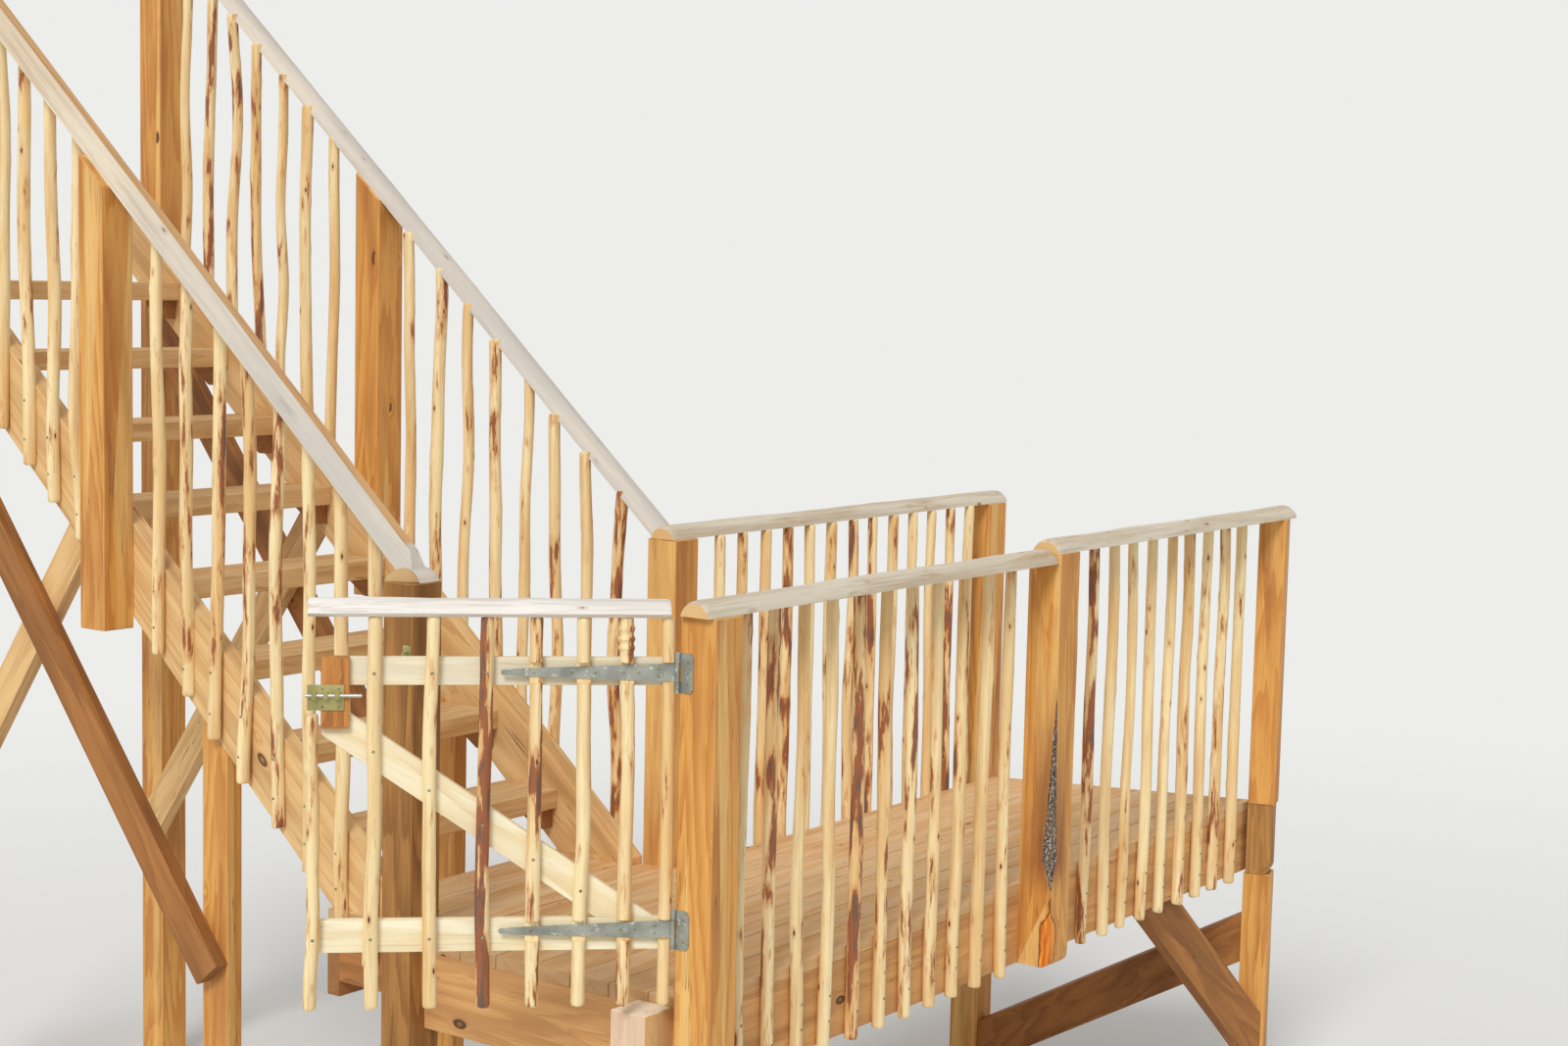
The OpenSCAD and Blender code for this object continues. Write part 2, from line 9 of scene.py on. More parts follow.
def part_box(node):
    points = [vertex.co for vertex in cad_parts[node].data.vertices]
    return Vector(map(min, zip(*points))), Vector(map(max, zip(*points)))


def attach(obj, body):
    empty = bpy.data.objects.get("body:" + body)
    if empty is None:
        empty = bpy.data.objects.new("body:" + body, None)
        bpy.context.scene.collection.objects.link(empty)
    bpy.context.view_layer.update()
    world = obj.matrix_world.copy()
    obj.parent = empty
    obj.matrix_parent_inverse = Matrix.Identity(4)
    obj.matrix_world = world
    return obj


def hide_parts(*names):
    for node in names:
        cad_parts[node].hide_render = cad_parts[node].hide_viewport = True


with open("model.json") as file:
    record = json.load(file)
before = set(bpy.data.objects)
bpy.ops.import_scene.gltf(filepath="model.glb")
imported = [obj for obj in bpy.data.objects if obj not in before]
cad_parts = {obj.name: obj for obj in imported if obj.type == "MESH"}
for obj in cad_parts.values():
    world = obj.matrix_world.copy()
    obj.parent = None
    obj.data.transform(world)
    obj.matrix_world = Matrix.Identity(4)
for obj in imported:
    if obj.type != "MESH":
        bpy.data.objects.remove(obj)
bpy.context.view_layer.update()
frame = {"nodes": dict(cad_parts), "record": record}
scene = bpy.context.scene
print("frame loaded:", len(frame["nodes"]), "nodes")

# places read from the frame

hinge = next(j for j in frame["record"]["behaviour"]["joints"] if j["name"] == "gate_hinge")
gatePin = Vector(hinge["pos_m"])
gateTurn = math.radians(-hinge["range_deg"][0])
gateAlong = Vector((-math.sin(gateTurn), math.cos(gateTurn), 0))
gateThrough = Vector((math.cos(gateTurn), math.sin(gateTurn), 0))
east = Vector((1, 0, 0))
north = Vector((0, 1, 0))
up = Vector((0, 0, 1))


def gatePoint(n, s, z):  # n through the gate and s along it, both from the line of its pins
    return Vector((gatePin.x, gatePin.y, 0)) + n * gateThrough + s * gateAlong + z * up


def solidBoxes(node):  # the box of each separate solid of a node
    mesh = frame["nodes"][node].data
    keys = [tuple(round(c, 5) for c in v.co) for v in mesh.vertices]
    leader = {k: k for k in keys}

    def root(k):
        while leader[k] != k:
            leader[k] = leader[leader[k]]
            k = leader[k]
        return k

    for face in mesh.polygons:
        first = root(keys[face.vertices[0]])
        for i in face.vertices[1:]:
            leader[root(keys[i])] = first
    groups = {}
    for k in leader:
        groups.setdefault(root(k), []).append(k)
    boxes = []
    for points in groups.values():
        low = Vector([min(p[i] for p in points) for i in range(3)])
        high = Vector([max(p[i] for p in points) for i in range(3)])
        boxes.append((low, high))
    return sorted(boxes, key=lambda b: (round(b[0].z, 2), b[0].y, b[0].x))


treadBoxes = solidBoxes("treads")
stairClimb = treadBoxes[-1][1] - treadBoxes[0][1]
stairPitch = math.atan2(stairClimb.z, stairClimb.y)

# camera

cameraView = {
    "place": (-5.2074, -3.9990, 3.1693),
    "heading": 35.903,  # degrees from +X towards +Y
    "pitch": -5.652,
    "roll": 1.283,
    "lens": 56.967,
    "sensor": 36,
}


def makeCamera(look):
    heading, pitch, roll = (math.radians(look[k]) for k in ("heading", "pitch", "roll"))
    forward = Vector((math.cos(heading) * math.cos(pitch),
                      math.sin(heading) * math.cos(pitch), math.sin(pitch)))
    level = Vector((math.sin(heading), -math.cos(heading), 0))
    over = level.cross(forward)
    right = math.cos(roll) * level + math.sin(roll) * over
    top = right.cross(forward)
    data = bpy.data.cameras.new("photoCamera")
    data.lens = look["lens"]
    data.sensor_width = look["sensor"]
    camera = bpy.data.objects.new("photoCamera", data)
    scene.collection.objects.link(camera)
    turn = Matrix((right, top, -forward)).transposed()
    camera.matrix_world = Matrix.Translation(look["place"]) @ turn.to_4x4()
    scene.camera = camera


makeCamera(cameraView)

# node helpers


def put(socket, value):
    if isinstance(value, bpy.types.NodeSocket):
        socket.id_data.links.new(value, socket)
    else:
        socket.default_value = value


def addNode(tree, kind, inputs=None, **settings):
    node = tree.nodes.new("ShaderNode" + kind)
    for key, value in settings.items():
        setattr(node, key, value)
    for key, value in (inputs or {}).items():
        put(node.inputs[key], value)
    return node


def feedNode(kind, inputs, **settings):  # a node in the tree of the first socket that feeds it
    tree = next(v.id_data for v in inputs.values() if isinstance(v, bpy.types.NodeSocket))
    return addNode(tree, kind, inputs, **settings)


def calc(operation, a, b=0.0):
    return feedNode("Math", {0: a, 1: b}, operation=operation).outputs[0]


def times(a, b):
    return calc("MULTIPLY", a, b)


def ease(value, low, high, start=0.0, end=1.0):  # smooth step from low to high
    inputs = {0: value, 1: low, 2: high, 3: start, 4: end}
    return feedNode("MapRange", inputs, interpolation_type="SMOOTHSTEP").outputs[0]


def blend(factor, a, b):
    return feedNode("Mix", {0: factor, 6: a, 7: b}, data_type="RGBA").outputs[2]


def vectorCalc(operation, a, b=(0.0, 0.0, 0.0)):
    outputs = feedNode("VectorMath", {0: a, 1: b}, operation=operation).outputs
    return outputs["Value" if operation in ("LENGTH", "DOT_PRODUCT") else "Vector"]


def scaled(vector, amount):
    return feedNode("VectorMath", {0: vector, "Scale": amount}, operation="SCALE").outputs[0]


def coords(tree):  # places and directions on the piece itself
    return addNode(tree, "TexCoord").outputs


def parts(vector):  # x, y and z of a vector
    return feedNode("SeparateXYZ", {0: vector}).outputs


def cells(vector):  # a cell pattern, in which knots are strewn
    return feedNode("TexVoronoi", {"Vector": vector, "Scale": 1.0}).outputs


def dice(colour):  # the random numbers of a cell
    return feedNode("SeparateColor", {0: colour}).outputs


def cloud(vector, amounts, detail=2.0, rough=0.5):  # soft noise, stretched along each axis
    place = vectorCalc("MULTIPLY", vector, amounts)
    inputs = {"Vector": place, "Scale": 1.0, "Detail": detail, "Roughness": rough}
    return feedNode("TexNoise", inputs).outputs[0]


def direct(tree):  # 1 for rays from the camera, and for those that metal or glass sends on
    path = addNode(tree, "LightPath").outputs
    seen = calc("MAXIMUM", path["Is Camera Ray"], path["Is Glossy Ray"])
    return calc("MAXIMUM", seen, path["Is Transmission Ray"])


def tint(colour):  # a screen colour as the renderer wants it
    return tuple(c / 12.92 if c < 0.04 else ((c + 0.055) / 1.055) ** 2.4 for c in colour) + (1.0,)


def newMaterial(name):
    material = bpy.data.materials.new(name)
    material.use_nodes = True
    shader = material.node_tree.nodes["Principled BSDF"]
    return material, material.node_tree, shader


def finishShader(shader, colour, rough, height, depth, strength=0.6):
    put(shader.inputs["Base Color"], colour)
    put(shader.inputs["Roughness"], rough)
    bump = feedNode("Bump", {"Strength": strength, "Distance": depth, "Height": height})
    put(shader.inputs["Normal"], bump.outputs[0])


# timber

grainLook = {
    "fieldStretch": (0.45, 4.4, 4.4),  # slow noise whose levels are the growth rings
    "fibreStretch": (8.0, 300.0, 300.0),
    "toneStretch": (1.1, 9.0, 9.0),
    "knotStretch": (2.2, 9.0, 9.0),
    "checkStretch": (1.6, 70.0, 70.0),
    "sapStretch": (0.2, 8.5, 8.5),
    "waverStretch": (3.0, 40.0, 40.0),  # small wandering of the rings
    "waver": 0.9,
    "checkPlaces": (1.3, 11.0, 11.0),  # where a board has drying checks at all
    "seedStep": (17.3, 5.1, 9.7),  # moves each solid to grain of its own
    "knotLong": 0.55,  # under 1 draws a knot out along the grain
    "knotSizes": (0.005, 0.015),
    "halo": 0.034,  # how far out the rings bend round a knot
    "bend": 1.1,
}


def makeGrainGroup(look):
    tree = bpy.data.node_groups.new("timberGrain", "ShaderNodeTree")
    tree.interface.new_socket("Vector", in_out="INPUT", socket_type="NodeSocketVector")
    for name in ("Seed", "Rings", "Knots"):
        tree.interface.new_socket(name, in_out="INPUT", socket_type="NodeSocketFloat")
    for name in ("Ring", "Fibre", "Tone", "Knot", "Check", "Sap"):
        tree.interface.new_socket(name, in_out="OUTPUT", socket_type="NodeSocketFloat")
    given = tree.nodes.new("NodeGroupInput").outputs
    result = tree.nodes.new("NodeGroupOutput").inputs
    place = vectorCalc("ADD", given["Vector"], scaled(look["seedStep"], given["Seed"]))

    spots = vectorCalc("MULTIPLY", place, look["knotStretch"])
    knot = cells(spots)
    away = vectorCalc("SUBTRACT", spots, knot["Position"])
    x, y, z = look["knotStretch"]
    reach = vectorCalc("LENGTH", vectorCalc("MULTIPLY", away, (look["knotLong"] / x, 1 / y, 1 / z)))
    chance = dice(knot["Color"])
    there = calc("LESS_THAN", chance[1], given["Knots"])
    share = calc("DIVIDE", reach, ease(chance[0], 0.0, 1.0, *look["knotSizes"]))
    core = calc("SUBTRACT", ease(share, 1.2, 0.8), ease(share, 0.7, 0.2, 0.0, 0.4))
    put(result["Knot"], times(core, there))
    pull = times(ease(reach, look["halo"], 0.0), there)

    rings = times(cloud(place, look["fieldStretch"], 1.0, 0.4), given["Rings"])
    rings = calc("ADD", rings, times(cloud(place, look["waverStretch"]), look["waver"]))
    rings = calc("ADD", rings, times(pull, look["bend"]))
    band = calc("FRACT", rings)
    put(result["Ring"], times(ease(band, 0.25, 0.9), ease(band, 1.0, 0.93)))
    put(result["Fibre"], cloud(place, look["fibreStretch"], 3.0, 0.6))
    put(result["Tone"], cloud(place, look["toneStretch"], 3.0, 0.55))
    split = calc("ABSOLUTE", calc("SUBTRACT", cloud(place, look["checkStretch"], 1.0), 0.5))
    where = ease(cloud(place, look["checkPlaces"]), 0.56, 0.66)
    put(result["Check"], times(ease(split, 0.012, 0.0), where))
    put(result["Sap"], ease(cloud(place, look["sapStretch"], 1.0), 0.55, 0.61))
    return tree


grainGroup = makeGrainGroup(grainLook)

# what each timber looks like; colours are screen colours
timberLooks = {
    "post": {
        "pale": (0.88, 0.65, 0.33), "late": (0.77, 0.49, 0.20), "dark": (0.62, 0.36, 0.15),
        "knot": (0.36, 0.20, 0.09), "end": (0.68, 0.51, 0.31), "sap": (0.94, 0.79, 0.50), "rings": 14.0,
        "knots": 0.35, "rough": 0.6, "depth": 0.7},
    # a darker copy of the post look: painted shade, for the corner block
    "shadedPost": {
        "pale": (0.72, 0.52, 0.27), "late": (0.58, 0.39, 0.18), "dark": (0.46, 0.30, 0.14),
        "knot": (0.30, 0.19, 0.10), "end": (0.60, 0.46, 0.28), "rings": 13.0, "knots": 0.3, "rough": 0.68,
        "depth": 0.6},
    "latch": {
        "pale": (0.80, 0.54, 0.26), "late": (0.66, 0.39, 0.15), "dark": (0.50, 0.28, 0.12),
        "knot": (0.22, 0.12, 0.07), "end": (0.66, 0.46, 0.26), "rings": 15.0, "knots": 0.6, "rough": 0.66,
        "depth": 0.75},
    # rough timber for the gate newel; its colour, darker than the post look, is partly painted shade
    "rough": {
        "pale": (0.68, 0.48, 0.24), "late": (0.53, 0.34, 0.14), "dark": (0.41, 0.26, 0.12),
        "knot": (0.24, 0.15, 0.09), "end": (0.50, 0.37, 0.23), "rings": 15.0, "knots": 0.35, "rough": 0.78,
        "depth": 0.75},
    "deck": {
        "pale": (0.91, 0.74, 0.51), "late": (0.82, 0.62, 0.39), "dark": (0.73, 0.54, 0.34),
        "knot": (0.44, 0.28, 0.16), "end": (0.70, 0.54, 0.37), "rings": 10.0, "knots": 0.3, "rough": 0.72,
        "depth": 0.5},
    "fascia": {
        "pale": (0.88, 0.67, 0.42), "late": (0.77, 0.54, 0.31), "dark": (0.67, 0.46, 0.27),
        "knot": (0.36, 0.22, 0.12), "end": (0.66, 0.49, 0.31), "rings": 10.0, "knots": 0.4, "rough": 0.7,
        "depth": 0.55},
    "brace": {
        "pale": (0.68, 0.45, 0.22), "late": (0.55, 0.34, 0.15), "dark": (0.45, 0.28, 0.13),
        "knot": (0.28, 0.17, 0.10), "end": (0.56, 0.39, 0.23), "rings": 12.0, "knots": 0.35, "rough": 0.70,
        "depth": 0.65},
    "step": {
        "pale": (0.90, 0.75, 0.52), "late": (0.79, 0.60, 0.37), "dark": (0.69, 0.51, 0.31),
        "knot": (0.40, 0.26, 0.14), "end": (0.76, 0.58, 0.37), "rings": 11.0, "knots": 0.4, "rough": 0.68,
        "depth": 0.6},
    "stump": {
        "pale": (0.94, 0.83, 0.66), "late": (0.84, 0.68, 0.48), "dark": (0.76, 0.59, 0.38),
        "knot": (0.36, 0.24, 0.16), "end": (0.95, 0.91, 0.83), "rings": 12.0, "knots": 0.45, "rough": 0.72,
        "depth": 0.5},
    "gateBoard": {
        "pale": (0.97, 0.94, 0.82), "late": (0.93, 0.85, 0.65), "dark": (0.87, 0.75, 0.55),
        "knot": (0.48, 0.34, 0.21), "end": (0.87, 0.75, 0.55), "rings": 8.0, "knots": 0.3, "rough": 0.6,
        "depth": 0.5},
}

# what all sawn timbers share
timberWear = {
    "grey": (0.74, 0.71, 0.66),
    "sapShare": 0.6,
    "darkShare": 0.7,  # of the slow tone
    "fibreShare": 0.35,
    "endShare": 0.6,  # of the sawn end's colour
    "checkShare": 0.8,
    "relief": 0.0012,
}


def makeTimber(name, look, axis, grey, stainAndShade):  # axis is that of the grain; the last argument recolours one piece: the rail post with a stain and painted shade, the entry leg with painted light and shade
    material, tree, shader = newMaterial(name)
    wear = timberWear
    turn = axis.rotation_difference(east).to_euler()
    place = coords(tree)
    turned = feedNode("Mapping", {"Vector": place["Object"], "Rotation": turn}).outputs[0]
    piece = addNode(tree, "NewGeometry").outputs["Random Per Island"]
    inputs = {"Vector": turned, "Seed": piece, "Rings": look["rings"], "Knots": look["knots"]}
    out = feedNode("Group", inputs, node_tree=grainGroup).outputs
    pale, late, dark, knot, end = (tint(look[key]) for key in ("pale", "late", "dark", "knot", "end"))
    colour = blend(times(out["Ring"], look["depth"]), pale, late)
    if "sap" in look:
        colour = blend(times(out["Sap"], wear["sapShare"]), colour, tint(look["sap"]))
    colour = blend(ease(out["Tone"], 0.42, 0.74, 0.0, wear["darkShare"]), colour, dark)
    colour = blend(ease(out["Fibre"], 0.45, 0.7, 0.0, wear["fibreShare"]), colour, dark)
    if grey:
        colour = blend(ease(out["Tone"], 0.62, 0.38, 0.0, grey), colour, tint(wear["grey"]))
    along = calc("ABSOLUTE", vectorCalc("DOT_PRODUCT", place["Normal"], axis))
    colour = blend(ease(along, 0.75, 0.9, 0.0, wear["endShare"]), colour, end)
    colour = blend(out["Knot"], colour, knot)
    colour = blend(times(out["Check"], wear["checkShare"]), colour, knot)
    if stainAndShade:
        colour = stainAndShade(place, colour)
    gloss = ease(out["Fibre"], 0.3, 0.7, look["rough"] - 0.08, look["rough"] + 0.1)
    height = calc("SUBTRACT", times(out["Fibre"], 0.5), out["Check"])
    height = calc("SUBTRACT", height, times(out["Ring"], 0.2))
    finishShader(shader, colour, gloss, height, wear["relief"])
    return material


# peeled wood

# what all peeled wood shares
peeledWear = {
    "seedStep": (31.0, 7.0, 3.0),  # moves each piece to grain of its own
    "toneStretch": (1.5, 16.0, 16.0),
    "fibreStretch": (14.0, 420.0, 420.0),
    "streakStretch": (2.2, 90.0, 90.0),
    "barkStretch": (5.0, 40.0, 40.0),  # of the grey in the bark
    "bareness": 0.34,  # how much of the bark a skin of 0 takes off
    "innerShare": 0.7,
    "ringWaver": 0.012,
    "relief": 0.0011,
}


def makePeeled(name, look):
    material, tree, shader = newMaterial(name)
    wear = peeledWear
    place = addNode(tree, "Attribute", attribute_name="grain").outputs["Vector"]
    own, cut, skin = (addNode(tree, "Attribute", attribute_name=key).outputs["Fac"]
                      for key in ("own", "cut", "skin"))
    spot = vectorCalc("ADD", place, scaled(wear["seedStep"], own))
    tone = cloud(spot, wear["toneStretch"], 3.0, 0.55)
    fibre = cloud(spot, wear["fibreStretch"], 3.0, 0.6)
    streak = cloud(spot, wear["streakStretch"], 4.0, 0.65)
    inner = tint(look["inner"])
    colour = blend(ease(tone, 0.38, 0.66), tint(look["pale"]), tint(look["warm"]))
    colour = blend(ease(streak, 0.5, 0.7, 0.0, look["streaked"]), colour, tint(look["streak"]))
    colour = blend(ease(fibre, 0.45, 0.75, 0.0, 0.25), colour, tint(look["streak"]))

    # what is left of the bark: a warm inner layer, then bark, greyer where it is thick
    bare = times(calc("SUBTRACT", 1.0, skin), wear["bareness"])
    left = calc("SUBTRACT", cloud(spot, look["patchStretch"], 5.0, 0.62), bare)
    colour = blend(ease(left, 0.29, 0.37, 0.0, wear["innerShare"]), colour, inner)
    old = cloud(spot, wear["barkStretch"], 3.0)
    thick = times(ease(left, 0.42, 0.48), ease(old, 0.40, 0.56))
    barkHere = ease(left, 0.365, 0.395)
    colour = blend(barkHere, colour, blend(thick, tint(look["bark"]), tint(look["greyBark"])))

    knot = cells(vectorCalc("MULTIPLY", spot, look["knotCells"]))
    there = calc("LESS_THAN", dice(knot["Color"])[0], look["knots"])
    size = look["knotSize"]
    ring = times(ease(knot["Distance"], size * 2.4, size, 0.0, 0.5), there)
    dot = times(ease(knot["Distance"], size, size * 0.6), there)
    colour = blend(ring, colour, inner)
    colour = blend(dot, colour, tint(look["knot"]))
    # silver grey weathering, greyer towards a rail's foot; on the near stair rail the grey towards its foot
    # is painted shade as well
    if "silver" in look:
        run = parts(place)[0]
        worn = times(ease(run, *look["silverRun"]), ease(tone, 0.2, 0.6, 0.35, 0.75))
        colour = blend(worn, colour, tint(look["silver"]))
    if "hewnTop" in look:
        rise = parts(coords(tree)["Normal"])[2]
        sawnTop = blend(ease(streak, 0.4, 0.7), tint(look["hewnTop"]), tint(look["hewnLate"]))
        colour = blend(ease(rise, 0.62, 0.7), colour, sawnTop)

    away = vectorCalc("LENGTH", vectorCalc("MULTIPLY", place, (0.0, 1.0, 1.0)))
    wavy = calc("ADD", away, times(tone, wear["ringWaver"]))
    rings = calc("SINE", times(wavy, look["endRings"]))
    sawn = blend(ease(rings, -0.2, 1.0, 0.0, 0.45), tint(look["endPale"]), tint(look["endLate"]))
    colour = blend(cut, colour, sawn)
    gloss = ease(fibre, 0.3, 0.7, look["rough"] - 0.08, look["rough"] + 0.1)
    height = calc("ADD", times(fibre, 0.35), times(barkHere, 0.9))
    finishShader(shader, colour, gloss, height, wear["relief"])
    return material


# what the three kinds of rail share
railWood = {"knots": 0.5, "knotCells": (7.0, 18.0, 18.0), "patchStretch": (1.6, 12.0, 12.0),
            "endRings": 900.0, "rough": 0.6}
peeledLooks = {
    "picket": {
        "pale": (0.96, 0.88, 0.68), "warm": (0.90, 0.75, 0.51), "streak": (0.72, 0.51, 0.29),
        "streaked": 0.4, "inner": (0.80, 0.56, 0.32), "bark": (0.60, 0.35, 0.20),
        "greyBark": (0.41, 0.32, 0.27), "knot": (0.36, 0.22, 0.14), "knots": 0.5,
        "knotCells": (9.0, 24.0, 24.0), "knotSize": 0.10, "patchStretch": (4.5, 32.0, 32.0),
        "endPale": (0.94, 0.85, 0.66), "endLate": (0.82, 0.66, 0.44), "endRings": 1500.0, "rough": 0.55},
    "rail": {
        **railWood, "pale": (0.84, 0.80, 0.72), "warm": (0.77, 0.70, 0.60), "streak": (0.62, 0.54, 0.44),
        "streaked": 0.45, "inner": (0.70, 0.56, 0.40), "bark": (0.52, 0.40, 0.30),
        "greyBark": (0.56, 0.52, 0.48), "knot": (0.38, 0.28, 0.21), "knots": 0.6, "knotSize": 0.09,
        "endPale": (0.88, 0.73, 0.50), "endLate": (0.76, 0.58, 0.36)},
    "gateRail": {
        **railWood, "pale": (0.92, 0.90, 0.87), "warm": (0.84, 0.81, 0.77), "streak": (0.66, 0.61, 0.56),
        "streaked": 0.6, "inner": (0.74, 0.66, 0.57), "bark": (0.60, 0.52, 0.45),
        "greyBark": (0.60, 0.57, 0.54), "knot": (0.42, 0.34, 0.28), "knotSize": 0.07,
        "endPale": (0.88, 0.80, 0.66), "endLate": (0.76, 0.65, 0.50), "rough": 0.62},
    "roundRail": {
        **railWood, "pale": (0.88, 0.82, 0.73), "warm": (0.81, 0.73, 0.62), "streak": (0.66, 0.57, 0.46),
        "streaked": 0.5, "inner": (0.72, 0.60, 0.46), "bark": (0.56, 0.45, 0.36),
        "greyBark": (0.60, 0.56, 0.52), "knot": (0.42, 0.32, 0.25), "knots": 0.7, "knotSize": 0.09,
        "knotCells": (6.0, 16.0, 16.0), "endPale": (0.80, 0.67, 0.47), "endLate": (0.70, 0.54, 0.35),
        "silver": (0.74, 0.73, 0.71), "silverRun": (9.0, 0.0)},  # metres from the rail's foot
}
# the near stair rail is hewn flat on top, and grey only towards its foot: silver weathering and painted
# shade
peeledLooks["stairRail"] = {**peeledLooks["roundRail"], "silverRun": (2.4, 0.6),
                            "hewnTop": (0.80, 0.63, 0.42), "hewnLate": (0.68, 0.49, 0.30)}

# metal


def makeMetal(name, look):
    material, tree, shader = newMaterial(name)
    place = coords(tree)["Object"]
    sheen = cloud(place, (14.0, 14.0, 14.0))
    speck = cloud(place, (260.0, 260.0, 260.0))
    bloom = cloud(place, (60.0, 60.0, 60.0), 4.0, 0.65)
    deep = tint(look["deep"])
    colour = blend(ease(sheen, 0.36, 0.64), tint(look["pale"]), deep)
    colour = blend(ease(speck, 0.4, 0.7, 0.0, 0.3), colour, deep)
    colour = blend(ease(bloom, 0.60, 0.68, 0.0, look["bloomed"]), colour, tint(look["bloom"]))
    gloss = ease(bloom, 0.35, 0.7, look["rough"] - 0.08, look["rough"] + 0.2)
    put(shader.inputs["Metallic"], look["metallic"])
    finishShader(shader, colour, gloss, speck, 0.0003, 0.25)
    return material


metalLooks = {
    "galvanised": {
        "pale": (0.68, 0.69, 0.65), "deep": (0.55, 0.56, 0.52), "bloom": (0.88, 0.88, 0.86), "bloomed": 0.7,
        "rough": 0.42, "metallic": 0.6},
    "yellowZinc": {
        "pale": (0.76, 0.72, 0.48), "deep": (0.63, 0.60, 0.38), "bloom": (0.72, 0.60, 0.52), "bloomed": 0.5,
        "rough": 0.36, "metallic": 0.6},
    "brightRod": {
        "pale": (0.86, 0.85, 0.82), "deep": (0.74, 0.73, 0.70), "bloom": (0.60, 0.58, 0.54), "bloomed": 0.3,
        "rough": 0.32, "metallic": 0.8},
    "screw": {
        "pale": (0.66, 0.63, 0.52), "deep": (0.50, 0.47, 0.38), "bloom": (0.38, 0.33, 0.27), "bloomed": 0.5,
        "rough": 0.45, "metallic": 0.6},
}

metals = {name: makeMetal(name, look) for name, look in metalLooks.items()}
peeled = {name: makePeeled(name + "Wood", look) for name, look in peeledLooks.items()}
print("materials made")

# the sawn timbers of the frame

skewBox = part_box("end_fascia")
skewAxis = Vector((skewBox[0].x - skewBox[1].x, skewBox[1].y - skewBox[0].y, 0)).normalized()
flightAxis = Vector((0, math.cos(stairPitch), math.sin(stairPitch)))


def diagonal(node, falling=False):  # axis of a brace from the box of its first solid
    low, high = solidBoxes(node)[0]
    reach = high - low
    return Vector((0, reach.y, -reach.z if falling else reach.z)).normalized()


gateBraceEnd = 0.1  # height of the diagonal board's end
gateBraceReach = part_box("gate_brace")[1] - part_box("gate_brace")[0]
gateBraceAxis = (math.hypot(gateBraceReach.x, gateBraceReach.y) * gateAlong
                 + (gateBraceReach.z - gateBraceEnd) * up).normalized()

# how far silver grey has taken over
greyShare = {"deck_boards": 0.25, "treads": 0.15, "gate_mid_board": 0.35}
sawnLooks = {  # node: look, grain axis, width of the worn edge
    "gate_post": ("post", up, 0.004),
    # the gate newel: rough timber, darker with painted shade
    "gate_newel": ("rough", up, 0.004),
    "far_newel": ("post", up, 0.004),
    "rail_post": ("post", up, 0.004),
    "corner_post": ("post", up, 0.004),
    # the corner block: the post's timber, painted darker as in shade
    "corner_block": ("shadedPost", up, 0.003),
    "corner_leg": ("post", up, 0.004),
    "far_corner_post": ("post", up, 0.004),
    "entry_leg": ("stump", up, 0.004),
    "near_fascia": ("fascia", east, 0.003),
    "far_fascia": ("brace", east, 0.003),
    "front_fascia": ("fascia", north, 0.003),
    "end_fascia": ("brace", skewAxis, 0.003),
    "deck_joists": ("brace", north, 0.002),
    "deck_boards": ("deck", east, 0.003),
    "landing_joists": ("brace", north, 0.002),
    "landing_fascia": ("brace", east, 0.003),
    "near_stringer": ("step", flightAxis, 0.003),
    "far_stringer": ("step", flightAxis, 0.003),
    "treads": ("step", east, 0.004),
    "tread_cleats": ("brace", north, 0.002),
    "hung_posts": ("post", up, 0.004),
    "head_posts": ("post", up, 0.004),
    "flight_legs": ("post", up, 0.004),
    "rising_braces": ("brace", diagonal("rising_braces"), 0.003),
    "falling_braces": ("step", diagonal("falling_braces", True), 0.003),
    "end_brace": ("brace", diagonal("end_brace", True), 0.003),
    "knee_brace": ("brace", Vector((1, -0.2, -1)).normalized(), 0.003),
    "gate_mid_board": ("gateBoard", gateAlong, 0.002),
    "gate_low_board": ("gateBoard", gateAlong, 0.002),
    "gate_brace": ("gateBoard", gateBraceAxis, 0.002),
    "latch_block": ("latch", up, 0.003),
}


def dress(node, material, worn):  # a material and worn edges for a node of the frame
    piece = frame["nodes"][node]
    piece.material_slots[0].material = material
    weld = piece.modifiers.new("weld", "WELD")
    weld.merge_threshold = 0.00002
    bevel = piece.modifiers.new("wornEdges", "BEVEL")
    bevel.width = worn
    bevel.segments = 2
    bevel.limit_method = "ANGLE"
    bevel.angle_limit = math.radians(28)
    piece.modifiers.new("softShading", "WEIGHTED_NORMAL")


# the natural edge on the rail post, the stain beside it with painted shade, and the resin flame under it
naturalEdge = {
    "top": 1.850,
    "deepest": 1.295,
    "bottom": 1.185,
    "depth": 0.032,  # across the corner of the post, at the deepest
    "ragged": 0.03,
    "fade": 0.03,  # of the stain and painted shade, below the bottom
    "flameTip": 1.140,
    "flameFull": 1.060,
    "flameHalf": 0.034,
    "flame": (0.95, 0.62, 0.20),
    "flameDeep": (0.80, 0.40, 0.12),
    "rim": (0.42, 0.20, 0.08),
    # dark red-brown beside the natural edge: a stain, partly painted shade
    "stainAndShade": (0.50, 0.26, 0.11),
    "stainAndShadeHalf": 0.075,
}


